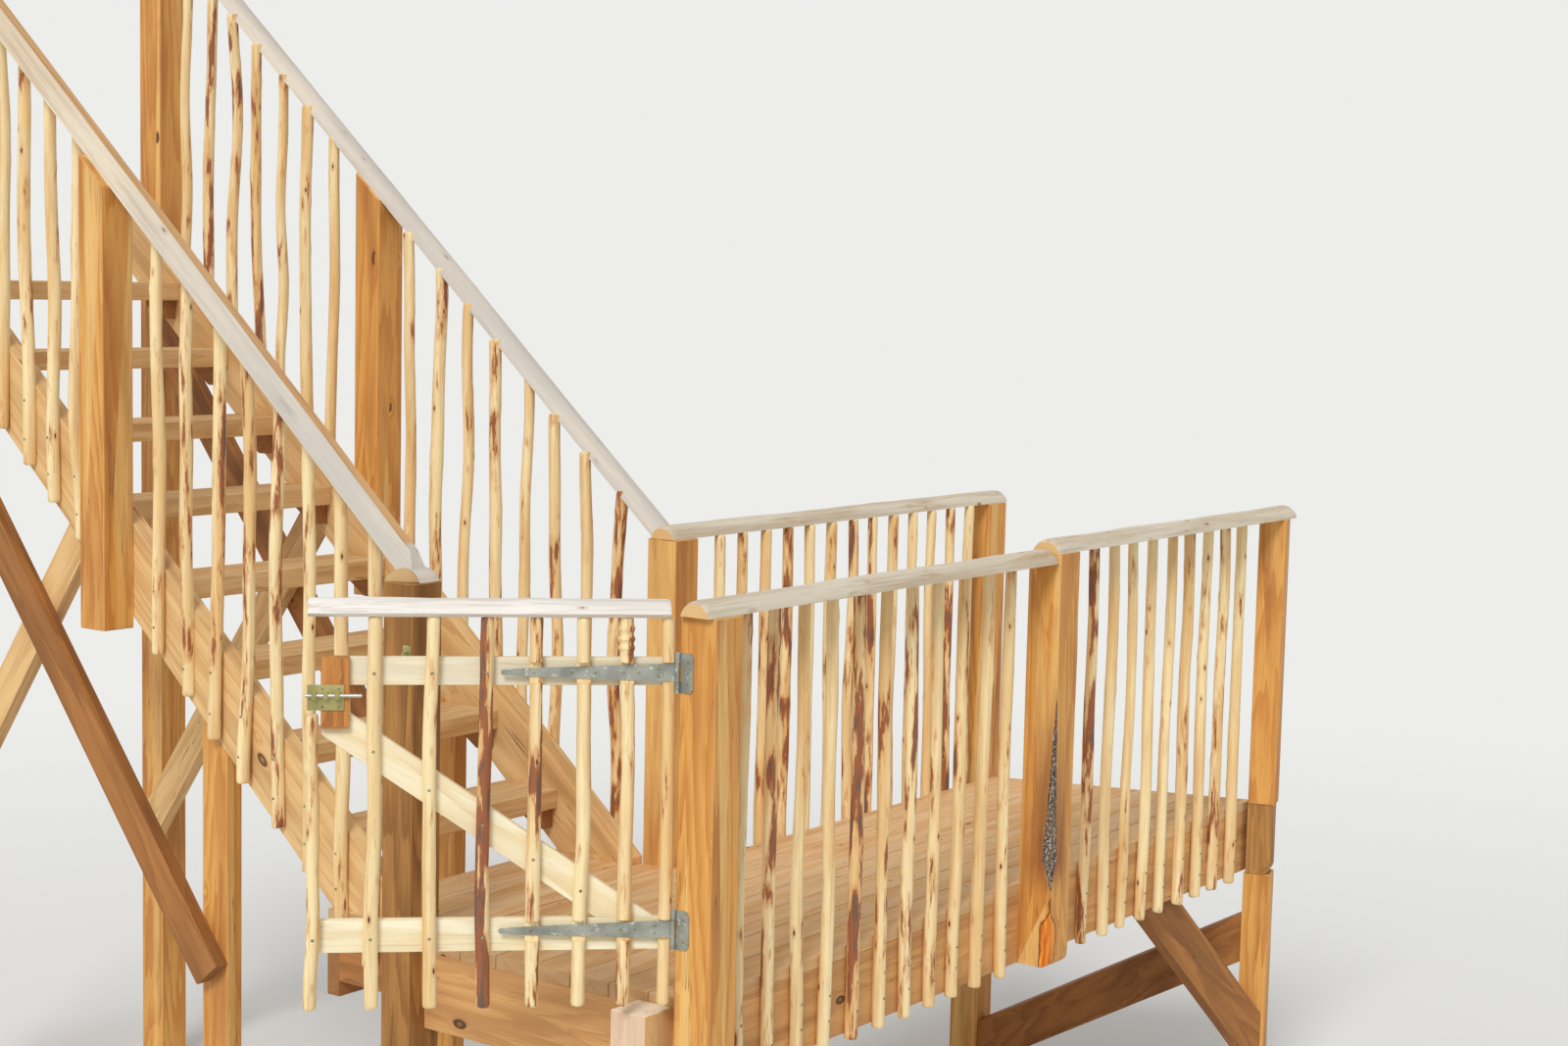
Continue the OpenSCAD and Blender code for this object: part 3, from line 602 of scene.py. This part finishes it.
def stainAndShadeRailPost(place, colour):
    look = naturalEdge
    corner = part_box("rail_post")[0]
    x, y, z = parts(place["Object"])
    fromCorner = calc("ADD", calc("SUBTRACT", x, corner.x), calc("SUBTRACT", y, corner.y))
    ragged = calc("SUBTRACT", cloud(place["Object"], (30.0, 30.0, 12.0), 3.0), 0.5)
    fromCorner = calc("ADD", fromCorner, times(ragged, look["ragged"]))
    start = look["bottom"] - look["fade"]
    run = times(ease(z, start, look["deepest"]), ease(z, look["top"], look["deepest"]))
    # the darker band beside the natural edge: a stain, partly painted shade
    near = ease(fromCorner, look["stainAndShadeHalf"] * 1.6, look["stainAndShadeHalf"] * 0.5, 0.0, 0.8)
    colour = blend(times(near, run), colour, tint(look["stainAndShade"]))
    half = ease(z, look["flameTip"], look["flameFull"], 0.0, look["flameHalf"])
    inside = calc("SUBTRACT", half, fromCorner)
    below = ease(z, look["flameTip"] + 0.004, look["flameTip"] - 0.004)
    colour = blend(times(ease(inside, -0.007, 0.001), below), colour, tint(look["rim"]))
    streak = ease(cloud(place["Object"], (130.0, 130.0, 9.0), 3.0), 0.42, 0.62)
    flame = blend(streak, tint(look["flame"]), tint(look["flameDeep"]))
    return blend(times(ease(inside, -0.001, 0.007), below), colour, flame)


# tones of the entry leg's faces, painted light and shade: the west face pink as where the sun falls, the
# south face a darker golden as in shade
entryLightLook = {"west": (0.86, 0.75, 0.68), "south": (0.88, 0.69, 0.42), "share": 0.55}


def paintLightOnEntryLeg(place, colour):
    # each face's tone is chosen by which way it faces: painted light and shade
    facing = parts(place["Normal"])
    for i, tone in enumerate(("west", "south")):
        share = ease(facing[i], -0.6, -0.9, 0.0, entryLightLook["share"])
        colour = blend(share, colour, tint(entryLightLook[tone]))
    return colour


# the rail post's stain is partly painted shade, and the entry leg's face tones are painted light and shade
stainsAndShades = {"rail_post": stainAndShadeRailPost, "entry_leg": paintLightOnEntryLeg}
sawnMaterials = {}
for node, (look, axis, worn) in sawnLooks.items():
    grey = greyShare.get(node, 0.0)
    stainAndShade = stainsAndShades.get(node)
    key = (look, tuple(round(v, 3) for v in axis), grey, stainAndShade)
    if key not in sawnMaterials:
        name = f"{look}Timber{len(sawnMaterials)}"
        sawnMaterials[key] = makeTimber(name, timberLooks[look], axis, grey, stainAndShade)
    dress(node, sawnMaterials[key], worn)

metalNodes = {
    "hinge_plates": ("galvanised", 0.0006),
    "strap_hinges": ("galvanised", 0.0006),
    "bolt_plate": ("yellowZinc", 0.0006),
    "bolt_keeper": ("yellowZinc", 0.0006),
    "bolt_rod": ("brightRod", 0.001),
}
for node, (metal, worn) in metalNodes.items():
    dress(node, metals[metal], worn)
print("sawn timbers and ironwork dressed")

# round and hewn wood, swept ring by ring

stockKeys = ("points", "grain", "own", "cut", "skin")


def newStock():
    return {key: [] for key in stockKeys + ("faces",)}


def addBar(stock, start, axis, side, rings, own, skin):
    # each ring is a list of (along, a, b): along the axis, to the side, and at right angles to both
    over = axis.cross(side)

    def lay(ring, cut):
        for t, a, b in ring:
            values = (start + t * axis + a * side + b * over, (t, a, b), own, cut, skin)
            for key, value in zip(stockKeys, values):
                stock[key].append(value)

    count = len(rings[0])
    first = len(stock["points"])
    for ring in rings:
        lay(ring, 0.0)
    for j in range(len(rings) - 1):
        for i in range(count):
            k = first + j * count + i
            n = first + j * count + (i + 1) % count
            stock["faces"].append((k, n, n + count, k + count))
    for ring, flip in ((rings[0], True), (rings[-1], False)):
        middle = [sum(p[i] for p in ring) / count for i in range(3)]
        base = len(stock["points"])
        lay(ring + [middle], 1.0)
        for i in range(count):
            face = (base + i, base + (i + 1) % count, base + count)
            stock["faces"].append(face[::-1] if flip else face)


def finishPiece(name, stock, material, body, node=None, sharp=40):
    mesh = bpy.data.meshes.new(name)
    mesh.from_pydata([tuple(p) for p in stock["points"]], [], stock["faces"])
    flat = [c for g in stock["grain"] for c in g]
    mesh.attributes.new("grain", "FLOAT_VECTOR", "POINT").data.foreach_set("vector", flat)
    for key in ("own", "cut", "skin"):
        mesh.attributes.new(key, "FLOAT", "POINT").data.foreach_set("value", stock[key])
    mesh.polygons.foreach_set("use_smooth", [True] * len(mesh.polygons))
    mesh.set_sharp_from_angle(angle=math.radians(sharp))
    mesh.materials.append(material)
    mesh.update()
    piece = bpy.data.objects.new(name, mesh)
    scene.collection.objects.link(piece)
    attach(piece, body)
    if node:
        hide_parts(node)


def wobble(rng, size, turns):  # a smooth random curve over 0 to 1
    waves = [(rng.uniform(0.4, 1.0) / k, k * turns * rng.uniform(0.8, 1.2), rng.uniform(0, math.tau))
             for k in (1, 2, 3)]
    total = sum(w[0] for w in waves)
    return lambda t: size * sum(a * math.sin(math.tau * f * t + p) for a, f, p in waves) / total


# screws

screwLook = {"radius": 0.0042, "rise": 0.0009, "recess": 0.0016, "sides": 16}
screws = {"frame": newStock(), "gate": newStock()}


def addScrew(body, place, out):  # its turn is random, seeded by its place
    look = screwLook
    side = out.orthogonal().normalized()
    r = look["radius"]
    turn = random.Random(round(place.x * 7919 + place.y * 104729 + place.z * 1299709)).uniform(0, math.pi)

    def ring(t, size, cross=0.0):  # cross pulls every other quarter in to a driver's recess
        points = []
        for i in range(look["sides"]):
            angle = math.tau * i / look["sides"] + turn
            reach = size if i % 4 == 0 or not cross else cross
            points.append((t, reach * math.cos(angle), reach * math.sin(angle)))
        return points

    rise = look["rise"]
    rings = [ring(-0.002, 0.8 * r), ring(0.2 * rise, r), ring(rise, 0.72 * r),
             ring(rise, 0.52 * r, 0.16 * r), ring(rise - look["recess"], 0.34 * r, 0.1 * r)]
    addBar(screws[body], place, out, side, rings, 0.5, 0.0)


def screwRing(body, rings, start, side, height, out):  # a screw in the skin of an upright piece
    over = up.cross(side)
    ring = min(rings, key=lambda r: abs(r[0][0] - height))
    spots = [start + t * up + a * side + b * over for t, a, b in ring]
    middle = sum(spots, Vector()) / len(spots)
    reach = max((spot - middle).dot(out) for spot in spots)
    middle += (start + height * up - middle).dot(up) * up
    addScrew(body, middle + reach * out, out)


# peeled pickets

picketLook = {
    "sides": 16,
    "stout": 1.14,  # over the plain rod of the frame
    "thick": (0.93, 1.05),  # share of that, from one picket to the next
    "endSoft": ((0.0, 0.80), (0.0015, 0.90), (0.005, 0.97), (0.011, 1.0)),
    "ringStep": 0.035,
    "bow": 0.008,  # how far a picket strays from its line
    "swell": 0.05,
    "taper": 0.07,
    "oval": 0.05,
    "ripple": 0.0008,
    "tip": 0.12,  # how far from square its ends are cut
    "knots": 4,
    "knotRise": 0.0024,
    "knotReach": 0.016,
    "skin": (0.08, 0.44),  # share of bark left on, from one picket to the next
    "darkOne": 0.13,  # share of pickets that keep most of their bark
    "darkSkin": (0.5, 0.7),
    "screwStray": 0.008,
}


def softEnd(edge, steps):  # share of the full radius at a distance from the end
    for (near, small), (far, large) in zip(steps, steps[1:]):
        if edge < far:
            return small + (large - small) * (edge - near) / (far - near)
    return 1.0


def picketRings(rng, length, radius, bow, levels=(), collars=()):
    look = picketLook
    turns = rng.uniform(0.5, 0.9)
    strayA = wobble(rng, bow, turns)
    strayB = wobble(rng, bow * 0.5, turns)
    swell = wobble(rng, look["swell"], 1.5)
    thick = rng.uniform(*look["thick"])
    lean = rng.uniform(0, math.tau)
    knots = [(rng.uniform(0.08, 0.95) * length, rng.uniform(0, math.tau), rng.uniform(0.5, 1.3))
             for _ in range(look["knots"])]
    count = max(8, round(length / look["ringStep"]))
    extra = [place + step for place, high, _ in collars for step in (-high, -high / 2, 0, high / 2, high)]
    extra += [place for step, _ in look["endSoft"][1:] for place in (step, length - step)]
    places = sorted(set([length * i / count for i in range(count + 1)] + list(levels) + extra))
    phase = rng.uniform(0, 50)
    tip = [rng.uniform(-look["tip"], look["tip"]) for _ in range(2)]
    rings = []
    for t in places:
        share = t / length
        r0 = radius * thick * (1 + look["taper"] * (0.5 - share)) * (1 + swell(share))
        r0 *= softEnd(min(t, length - t), look["endSoft"])
        for place, high, rise in collars:
            r0 += rise * max(0, 1 - abs(t - place) / high)
        ring = []
        for i in range(look["sides"]):
            angle = math.tau * i / look["sides"]
            r = r0 * (1 + look["oval"] * math.cos(2 * (angle - lean)))
            for place, around, size in knots:
                near = math.exp(-((t - place) / look["knotReach"]) ** 2)
                if near > 0.02:
                    facing = max(0, math.cos(angle - around)) ** 3
                    r += look["knotRise"] * size * near * (0.25 + facing)
            spot = Vector((t * 9 + phase, math.cos(angle) * 1.5, math.sin(angle) * 1.5))
            r += look["ripple"] * noise.noise(spot)
            a = r * math.cos(angle)
            b = r * math.sin(angle)
            shift = tip[0] * a + tip[1] * b if t in (0, length) else 0
            ring.append([t + shift, a + strayA(share), b + strayB(share)])
        rings.append(ring)
    return rings


# heights of the screws over a picket's foot, how much shorter it is than the rod of the frame,
# and its bow and girth over those of picketLook
deckRow = {"screws": (0.09, 0.17), "topDrop": 0.0, "bow": 1.0, "stout": 1.0}
stairRow = {"screws": (0.09, 0.21), "topDrop": 0.004, "bow": 1.9, "stout": 1.06}


def picketRow(name, node, seed, out, row):  # out is the way that the screws' heads face
    rng = random.Random(seed)
    look = picketLook
    stock = newStock()
    for low, high in solidBoxes(node):
        middle = (low + high) / 2
        length = high.z - low.z - row["topDrop"]
        radius = min(high.y - low.y, high.x - low.x) / 2 * look["stout"] * row["stout"]
        rings = picketRings(rng, length, radius, look["bow"] * row["bow"])
        dark = rng.random() < look["darkOne"]
        skin = rng.uniform(*(look["darkSkin"] if dark else look["skin"]))
        start = Vector((middle.x, middle.y, low.z))
        addBar(stock, start, up, east, rings, rng.random(), skin)
        for level in row["screws"]:
            height = level + rng.uniform(-look["screwStray"], look["screwStray"])
            screwRing("frame", rings, start, east, height, out)
    finishPiece(name, stock, peeled["picket"], "frame", node)


picketRow("deckPicketsNear1", "near_pickets_1", 11, -north, deckRow)
picketRow("deckPicketsNear2", "near_pickets_2", 12, -north, deckRow)
picketRow("deckPicketsFar", "far_pickets", 13, north, deckRow)
picketRow("stairPicketsNear", "near_stair_pickets", 14, -east, stairRow)
picketRow("stairPicketsFar", "far_stair_pickets", 15, east, stairRow)

# places of the gate's boards, as distance from the pin and height


def gateReach(node):  # each corner of a node of the gate as (through, along, height)
    return [((v.co - gatePin).dot(gateThrough), (v.co - gatePin).dot(gateAlong), v.co.z)
            for v in frame["nodes"][node].data.vertices]


boardHeights = [sum(p.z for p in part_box(node)) / 2 for node in ("gate_mid_board", "gate_low_board")]
braceReach = gateReach("gate_brace")
braceFoot = min(braceReach, key=lambda p: (round(p[1], 3), p[2]))
braceHead = max(braceReach, key=lambda p: (round(p[1], 3), p[2]))
braceUnder = min(p[2] for p in braceReach if p[1] > braceHead[1] - 0.001)
braceRise = (braceHead[2] - braceFoot[2]) / (braceHead[1] - braceFoot[1])


def braceMiddle(s):  # height of the middle of the diagonal board at a distance from the pin
    return braceFoot[2] + (s - braceFoot[1]) * braceRise - (braceHead[2] - braceUnder) / 2


gatePicketLook = {
    "radius": 0.0188,
    "bow": 0.006,
    "skin": (0.12, 0.40, 0.08, 0.42, 0.66, 0.15, 0.1, 0.3),  # from the hinges to the latch
    "notchDeep": 0.0072,  # how far behind the pin's line the straps' bed is cut
    "notchHalf": 0.028,
    "notchStep": 0.0005,
    "clearOfFoot": 0.1,  # the diagonal board has no screws this near its foot
    "collared": 1,  # the picket with whorls cut at its head
    "collars": ((0.030, 0.012, 0.004), (0.058, 0.010, 0.005), (0.082, 0.010, 0.004)),
}


def gatePickets(look, seed):
    rng = random.Random(seed)
    stock = newStock()
    places = []
    for low, high in solidBoxes("gate_pickets"):
        middle = (low + high) / 2
        fromPin = middle - gatePin
        places.append((fromPin.dot(gateAlong), fromPin.dot(gateThrough), low.z, high.z))
    straps = [(b[0].z + b[1].z) / 2 for b in solidBoxes("strap_hinges")]
    strapReach = max(p[1] for p in gateReach("strap_hinges"))
    half = look["notchHalf"]
    step = look["notchStep"]
    for i, (s, n, low, high) in enumerate(sorted(places)):
        length = high - low
        beds = straps if s < strapReach else []
        levels = [z + edge - low + slip for z in beds for edge in (-half, half) for slip in (-step, step)]
        collars = ()
        if i == look["collared"]:
            collars = [(length - down, reach, rise) for down, reach, rise in look["collars"]]
        rings = picketRings(rng, length, look["radius"], look["bow"], levels, collars)
        for ring in rings:
            for point in ring:
                if any(abs(low + point[0] - z) < half for z in beds):
                    point[2] = max(point[2], look["notchDeep"] - n)
        # ring points run (along, a, b): a lies along the gate and b across it
        rings = [[(t, -a, b) for t, a, b in ring] for ring in rings]
        start = gatePoint(n, s, low)
        addBar(stock, start, up, -gateAlong, rings, rng.random(), look["skin"][i])
        crossings = [] if beds else boardHeights[:]
        if braceFoot[1] + look["clearOfFoot"] < s < braceHead[1]:
            crossings.append(braceMiddle(s))
        for z in crossings:
            if low < z < high:
                screwRing("gate", rings, start, -gateAlong, z - low, -gateThrough)
    finishPiece("gatePicketsPeeled", stock, peeled["picket"], "gate", "gate_pickets")


gatePickets(gatePicketLook, 21)
print("pickets made")

# handrails


def halfRound(width, thick, points=13, flat=4):
    r = (width * width / 4 + thick * thick) / (2 * thick)
    reach = math.asin(min(1, width / 2 / r))
    arc = []
    for i in range(points):
        angle = reach * (1 - 2 * i / (points - 1))
        arc.append((r * math.sin(angle), thick - r + r * math.cos(angle)))
    under = [(-width / 2 + width * (i + 1) / (flat + 1), 0) for i in range(flat)]
    return arc + under


railRipple = 0.0012  # roughness of a peeled rail's skin


def railBar(stock, start, axis, side, length, section, rng, look, foot, own, skin):
    # section gives the outline at a share of the length, and foot how far along a point of the outline
    # is cut at the start; without a foot the start is worn like the end
    count = max(4, round(length / look["ringStep"]))
    shares = {j / count for j in range(count + 1)}
    soft = look["endSoft"]
    shares |= {1 - far / length for far, _ in soft}
    if not foot:
        shares |= {far / length for far, _ in soft}
    wander = wobble(rng, look["wander"], 1.2)
    swellW = wobble(rng, look["swell"], 2.0)
    swellT = wobble(rng, look["swell"], 2.6)
    phase = rng.uniform(0, 90)
    rings = []
    for share in sorted(shares):
        edge = (1 - share) * length
        if not foot:
            edge = min(edge, share * length)
        worn = softEnd(edge, soft)
        ring = []
        for a, b in section(share):
            wide = a * (1 + swellW(share)) * (0.5 + 0.5 * worn)
            high = b * (1 + swellT(share)) * worn
            ripple = railRipple * noise.noise(Vector((share * length * 6 + phase, a * 30, b * 30)))
            high += ripple if b > 0.002 else 0
            t = share * length
            if share == 0 and foot:
                t = foot(wide, high)
            ring.append((t, wide + wander(share), high))
        rings.append(ring)
    addBar(stock, start, axis, side, rings, own, skin)


railLook = {
    "ringStep": 0.04,
    "wander": 0.0025,
    "swell": 0.03,
    "endSoft": ((0.0, 0.80), (0.004, 0.89), (0.012, 0.96), (0.028, 1.0)),  # worn back at its ends
}


def levelRail(name, node, seed, wood="rail", own=None, foot=None):
    rng = random.Random(seed)
    low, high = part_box(node)
    stock = newStock()
    start = Vector((low.x, (low.y + high.y) / 2, low.z))
    outline = halfRound(high.y - low.y, high.z - low.z)
    if own is None:
        own = rng.random()
    railBar(stock, start, east, north, high.x - low.x, lambda t: outline, rng, railLook, foot, own, 0.0)
    finishPiece(name, stock, peeled[wood], "frame", node)


levelRail("handrailNear1", "near_handrail_1", 31)
levelRail("handrailNear2", "near_handrail_2", 32)
levelRail("handrailFar", "far_handrail", 33)

newelLow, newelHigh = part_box("gate_newel")
newelMiddle = (newelLow + newelHigh) / 2

stairRailLook = {
    "hewn": [(0.034, 0.0), (-0.056, 0.0), (-0.026, 0.064), (0.008, 0.064)],
    "hewnFoot": [(0.034, 0.0), (-0.056, 0.0), (-0.043, 0.027), (0.023, 0.027)],
    "round": (0.106, 0.040),
    "nearCut": 0.024,  # how far before the newel's middle the near rail is cut off
    "ringStep": 0.06, "wander": 0.002, "swell": 0.02,
    "endSoft": ((0.0, 0.94), (0.003, 0.97), (0.008, 1.0)),
}


def stairRail(name, node, seed, x, foot, outline, cut, own, wood):
    # foot and outline are its section at the foot and above it
    cosine = math.cos(stairPitch)
    sine = math.sin(stairPitch)
    start = Vector((x, newelMiddle.y, newelHigh.z))
    length = (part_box(node)[1].y - start.y) / cosine
    stock = newStock()

    def footEnd(a, b):
        return max((b * sine - cut) / cosine, -b * cosine / sine)

    railBar(stock, start, flightAxis, -east, length, lambda t: outline if t else foot,
            random.Random(seed), stairRailLook, footEnd, own, 0.05)
    if "hewnTop" in peeledLooks[wood]:
        stock["cut"] = [0.0] * len(stock["cut"])  # its foot is coloured like its sides: silver grey with painted shade
    finishPiece(name, stock, peeled[wood], "frame", node)


roundOutline = halfRound(*stairRailLook["round"])
farRailMiddle = sum(p.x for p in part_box("far_stair_rail")) / 2
stairRail("stairRailNear", "near_stair_rail", 42, 0.0, stairRailLook["hewnFoot"], stairRailLook["hewn"],
          stairRailLook["nearCut"], 0.7, "stairRail")
stairRail("stairRailFar", "far_stair_rail", 41, farRailMiddle, roundOutline, roundOutline, 0.0, 0.3,
          "roundRail")

capLow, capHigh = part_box("newel_cap")
capOblique = 0.049  # how much further back its foot runs on one side than on the other


def capFoot(a, b):
    return capOblique * (0.5 - a / (capHigh.y - capLow.y))


levelRail("newelCapHewn", "newel_cap", 44, "roundRail", 0.5, capFoot)

gateRailLook = {"from": 0.02, "to": 0.970, "through": 0.019, "width": 0.084, "thick": 0.048,
                "ringStep": 0.04, "wander": 0.002, "swell": 0.03,
                "endSoft": ((0.0, 0.90), (0.003, 0.95), (0.010, 1.0))}


def gateTopRail(look):
    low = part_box("gate_top_rail")[0]
    stock = newStock()
    outline = halfRound(look["width"], look["thick"])
    railBar(stock, gatePoint(look["through"], look["from"], low.z), gateAlong, -gateThrough,
            look["to"] - look["from"], lambda t: outline, random.Random(51), look, None, 0.8, 0.1)
    finishPiece("gateTopRailPeeled", stock, peeled["gateRail"], "gate", "gate_top_rail")


gateTopRail(gateRailLook)
print("handrails made")

# bark on the natural edge

barkLook = {
    "steps": 90,
    "across": 14,
    "share": 0.74,  # of the width of the natural edge
    "crown": 0.010,
    "crownMost": 0.55,  # of the depth of the natural edge, where that is shallow
    "withinCorner": 0.9,  # keeps it behind the corner that the post had
    "crumble": 0.006,
    "uneven": 0.35,  # of its width
    "under": 0.003,  # how far its back lies in the wood
    "thinnest": 0.0004,
    "start": 0.004,  # above the bottom of the natural edge
    "shorter": 0.03,  # than the natural edge
    "pale": (0.74, 0.72, 0.68),
    "deep": (0.27, 0.22, 0.18),
    "brown": (0.45, 0.36, 0.28),
}


def makeBark(look):
    material, tree, shader = newMaterial("roughBark")
    place = coords(tree)["Object"]
    plates = cloud(place, (90.0, 90.0, 34.0), 5.0, 0.7)
    lichen = cloud(place, (170.0, 170.0, 120.0), 3.0, 0.6)
    colour = blend(ease(plates, 0.42, 0.6), tint(look["deep"]), tint(look["brown"]))
    colour = blend(ease(lichen, 0.52, 0.62, 0.0, 0.85), colour, tint(look["pale"]))
    finishShader(shader, colour, 0.9, plates, 0.003, 0.8)
    return material


def edgeDepth(z):  # of the natural edge at a height
    look = naturalEdge
    end = "top" if z > look["deepest"] else "bottom"
    return look["depth"] * (look[end] - z) / (look[end] - look["deepest"])


def railPostBark(look):
    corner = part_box("rail_post")[0]
    side = Vector((1, -1, 0)).normalized()
    count = look["across"]
    run = naturalEdge["top"] - naturalEdge["bottom"] - look["shorter"]
    rings = []
    for j in range(look["steps"] + 1):
        share = j / look["steps"]
        z = naturalEdge["bottom"] + look["start"] + share * run
        depth = edgeDepth(z)
        half = look["share"] * depth * (1 + look["uneven"] * noise.noise(Vector((z * 22, 3.1, 0.0))))
        # points run (height, to the side, into the post)
        ring = [(z, (2 * i / (count - 1) - 1) * half, depth + look["under"]) for i in range(count)]
        for i in range(count):
            across = 1 - 2 * i / (count - 1)
            crown = min(look["crown"], look["crownMost"] * depth) * (1 - across ** 4)
            crumble = look["crumble"] * noise.noise(Vector((z * 55, across * 2.4, 7.0))) * (1 - across ** 4)
            lift = min(crown + crumble, look["withinCorner"] * (depth - abs(across) * half))
            ring.append((z, across * half, depth - max(look["thinnest"], lift)))
        rings.append(ring)
    stock = newStock()
    addBar(stock, Vector((corner.x, corner.y, 0)), up, side, rings, 0.5, 0.0)
    finishPiece("railPostBark", stock, makeBark(look), "frame", sharp=75)


railPostBark(barkLook)

# screws in flat faces

flatScrews = {
    "deckInset": 0.30,  # share of a board's width, from its middle
    "treadEnd": 0.028,
    "treadEdge": 0.045,
    "strap": ((0.050, 0.010), (0.050, -0.010), (0.103, 0.0), (0.142, 0.0), (0.218, 0.0), (0.280, 0.0),
              (0.381, 0.0)),
    "plateAcross": 0.30,  # share of the hinge plate's width
    "plateUp": (-0.030, 0.0, 0.030),
    "keeperUp": (-0.019, 0.019),
    "keeperIn": 0.009,
    "thick": 0.003,  # of the plates under the screws
    "knuckle": 0.02,  # how far from the pin a strap's knuckle reaches
    "boltPlate": ((0.014, 0.018), (0.056, 0.018), (0.014, -0.030), (0.056, -0.030)),
}


def deckScrews(look):
    joists = solidBoxes("deck_joists") + solidBoxes("landing_joists")
    for low, high in solidBoxes("deck_boards"):
        middle = (low.y + high.y) / 2
        inset = look["deckInset"] * (high.y - low.y)
        for a, b in joists:
            x = (a.x + b.x) / 2
            if low.x < x < high.x and a.y < middle < b.y:
                for y in (middle - inset, middle + inset):
                    addScrew("frame", Vector((x, y, high.z)), up)


def treadScrews(look):
    for low, high in solidBoxes("treads"):
        for x in (low.x + look["treadEnd"], high.x - look["treadEnd"]):
            for y in (low.y + look["treadEdge"], high.y - look["treadEdge"]):
                addScrew("frame", Vector((x, y, high.z)), up)


def hingeScrews(look):
    strapFace = min(p[0] for p in gateReach("strap_hinges") if p[1] > look["knuckle"])
    for low, high in solidBoxes("strap_hinges"):
        z = (low.z + high.z) / 2
        for s, rise in look["strap"]:
            addScrew("gate", gatePoint(strapFace, s, z + rise), -gateThrough)
    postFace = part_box("gate_post")[0].x
    for low, high in solidBoxes("hinge_plates"):
        z = (low.z + high.z) / 2
        y = low.y + look["plateAcross"] * (high.y - low.y)
        for rise in look["plateUp"]:
            addScrew("frame", Vector((postFace - look["thick"], y, z + rise)), -east)


def boltScrews(look):
    reach = gateReach("bolt_plate")
    start = min(p[1] for p in reach)
    face = max(p[0] for p in reach) - look["thick"]
    z = sum(p.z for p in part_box("bolt_rod")) / 2
    for s, rise in look["boltPlate"]:
        addScrew("gate", gatePoint(face, start + s, z + rise), -gateThrough)
    low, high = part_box("bolt_keeper")
    x = newelLow.x - look["thick"]
    for rise in look["keeperUp"]:
        addScrew("frame", Vector((x, high.y - look["keeperIn"], (low.z + high.z) / 2 + rise)), -east)


deckScrews(flatScrews)
treadScrews(flatScrews)
hingeScrews(flatScrews)
boltScrews(flatScrews)
for body, stock in screws.items():
    finishPiece(body + "Screws", stock, metals["screw"], body, sharp=30)
print("bark and screws made")

# light

lightLook = {
    "world": 0.58,
    "backdrop": (0.93, 0.93, 0.92),
    "ground": (0.88, 0.88, 0.87),
    "sun": 1.95,
    "softness": 20,
    "turn": (48, 8, -77),
    "floor": 40.0,
    "fade": (5.0, 13.0),  # metres over which the floor runs into the backdrop
}


def makeLight(look):
    scene.view_settings.view_transform = "Standard"
    backdrop = tint(look["backdrop"])
    world = bpy.data.worlds.new("studio")
    world.use_nodes = True
    tree = world.node_tree
    shown = tree.nodes["Background"]
    put(shown.inputs["Color"], backdrop)
    lit = addNode(tree, "Background", {"Color": (1.0, 1.0, 1.0, 1.0), "Strength": look["world"]})
    both = feedNode("MixShader", {0: direct(tree), 1: lit.outputs[0], 2: shown.outputs[0]})
    put(tree.nodes["World Output"].inputs["Surface"], both.outputs[0])
    scene.world = world

    sun = bpy.data.lights.new("key", "SUN")
    sun.energy = look["sun"]
    sun.angle = math.radians(look["softness"])
    lamp = bpy.data.objects.new("key", sun)
    lamp.rotation_euler = [math.radians(v) for v in look["turn"]]
    scene.collection.objects.link(lamp)

    r = look["floor"]
    mesh = bpy.data.meshes.new("floor")
    mesh.from_pydata([(-r, -r, 0), (r, -r, 0), (r, r, 0), (-r, r, 0)], [], [(0, 1, 2, 3)])
    floor = bpy.data.objects.new("floor", mesh)
    material, tree, shader = newMaterial("paleFloor")
    put(shader.inputs["Base Color"], tint(look["ground"]))
    put(shader.inputs["Roughness"], 0.9)
    far = vectorCalc("LENGTH", coords(tree)["Object"])
    haze = times(ease(far, *look["fade"]), direct(tree))
    glow = addNode(tree, "Emission", {"Color": backdrop})
    both = feedNode("MixShader", {0: haze, 1: shader.outputs[0], 2: glow.outputs[0]})
    put(tree.nodes["Material Output"].inputs["Surface"], both.outputs[0])
    mesh.materials.append(material)
    scene.collection.objects.link(floor)


makeLight(lightLook)
print("light and floor made")
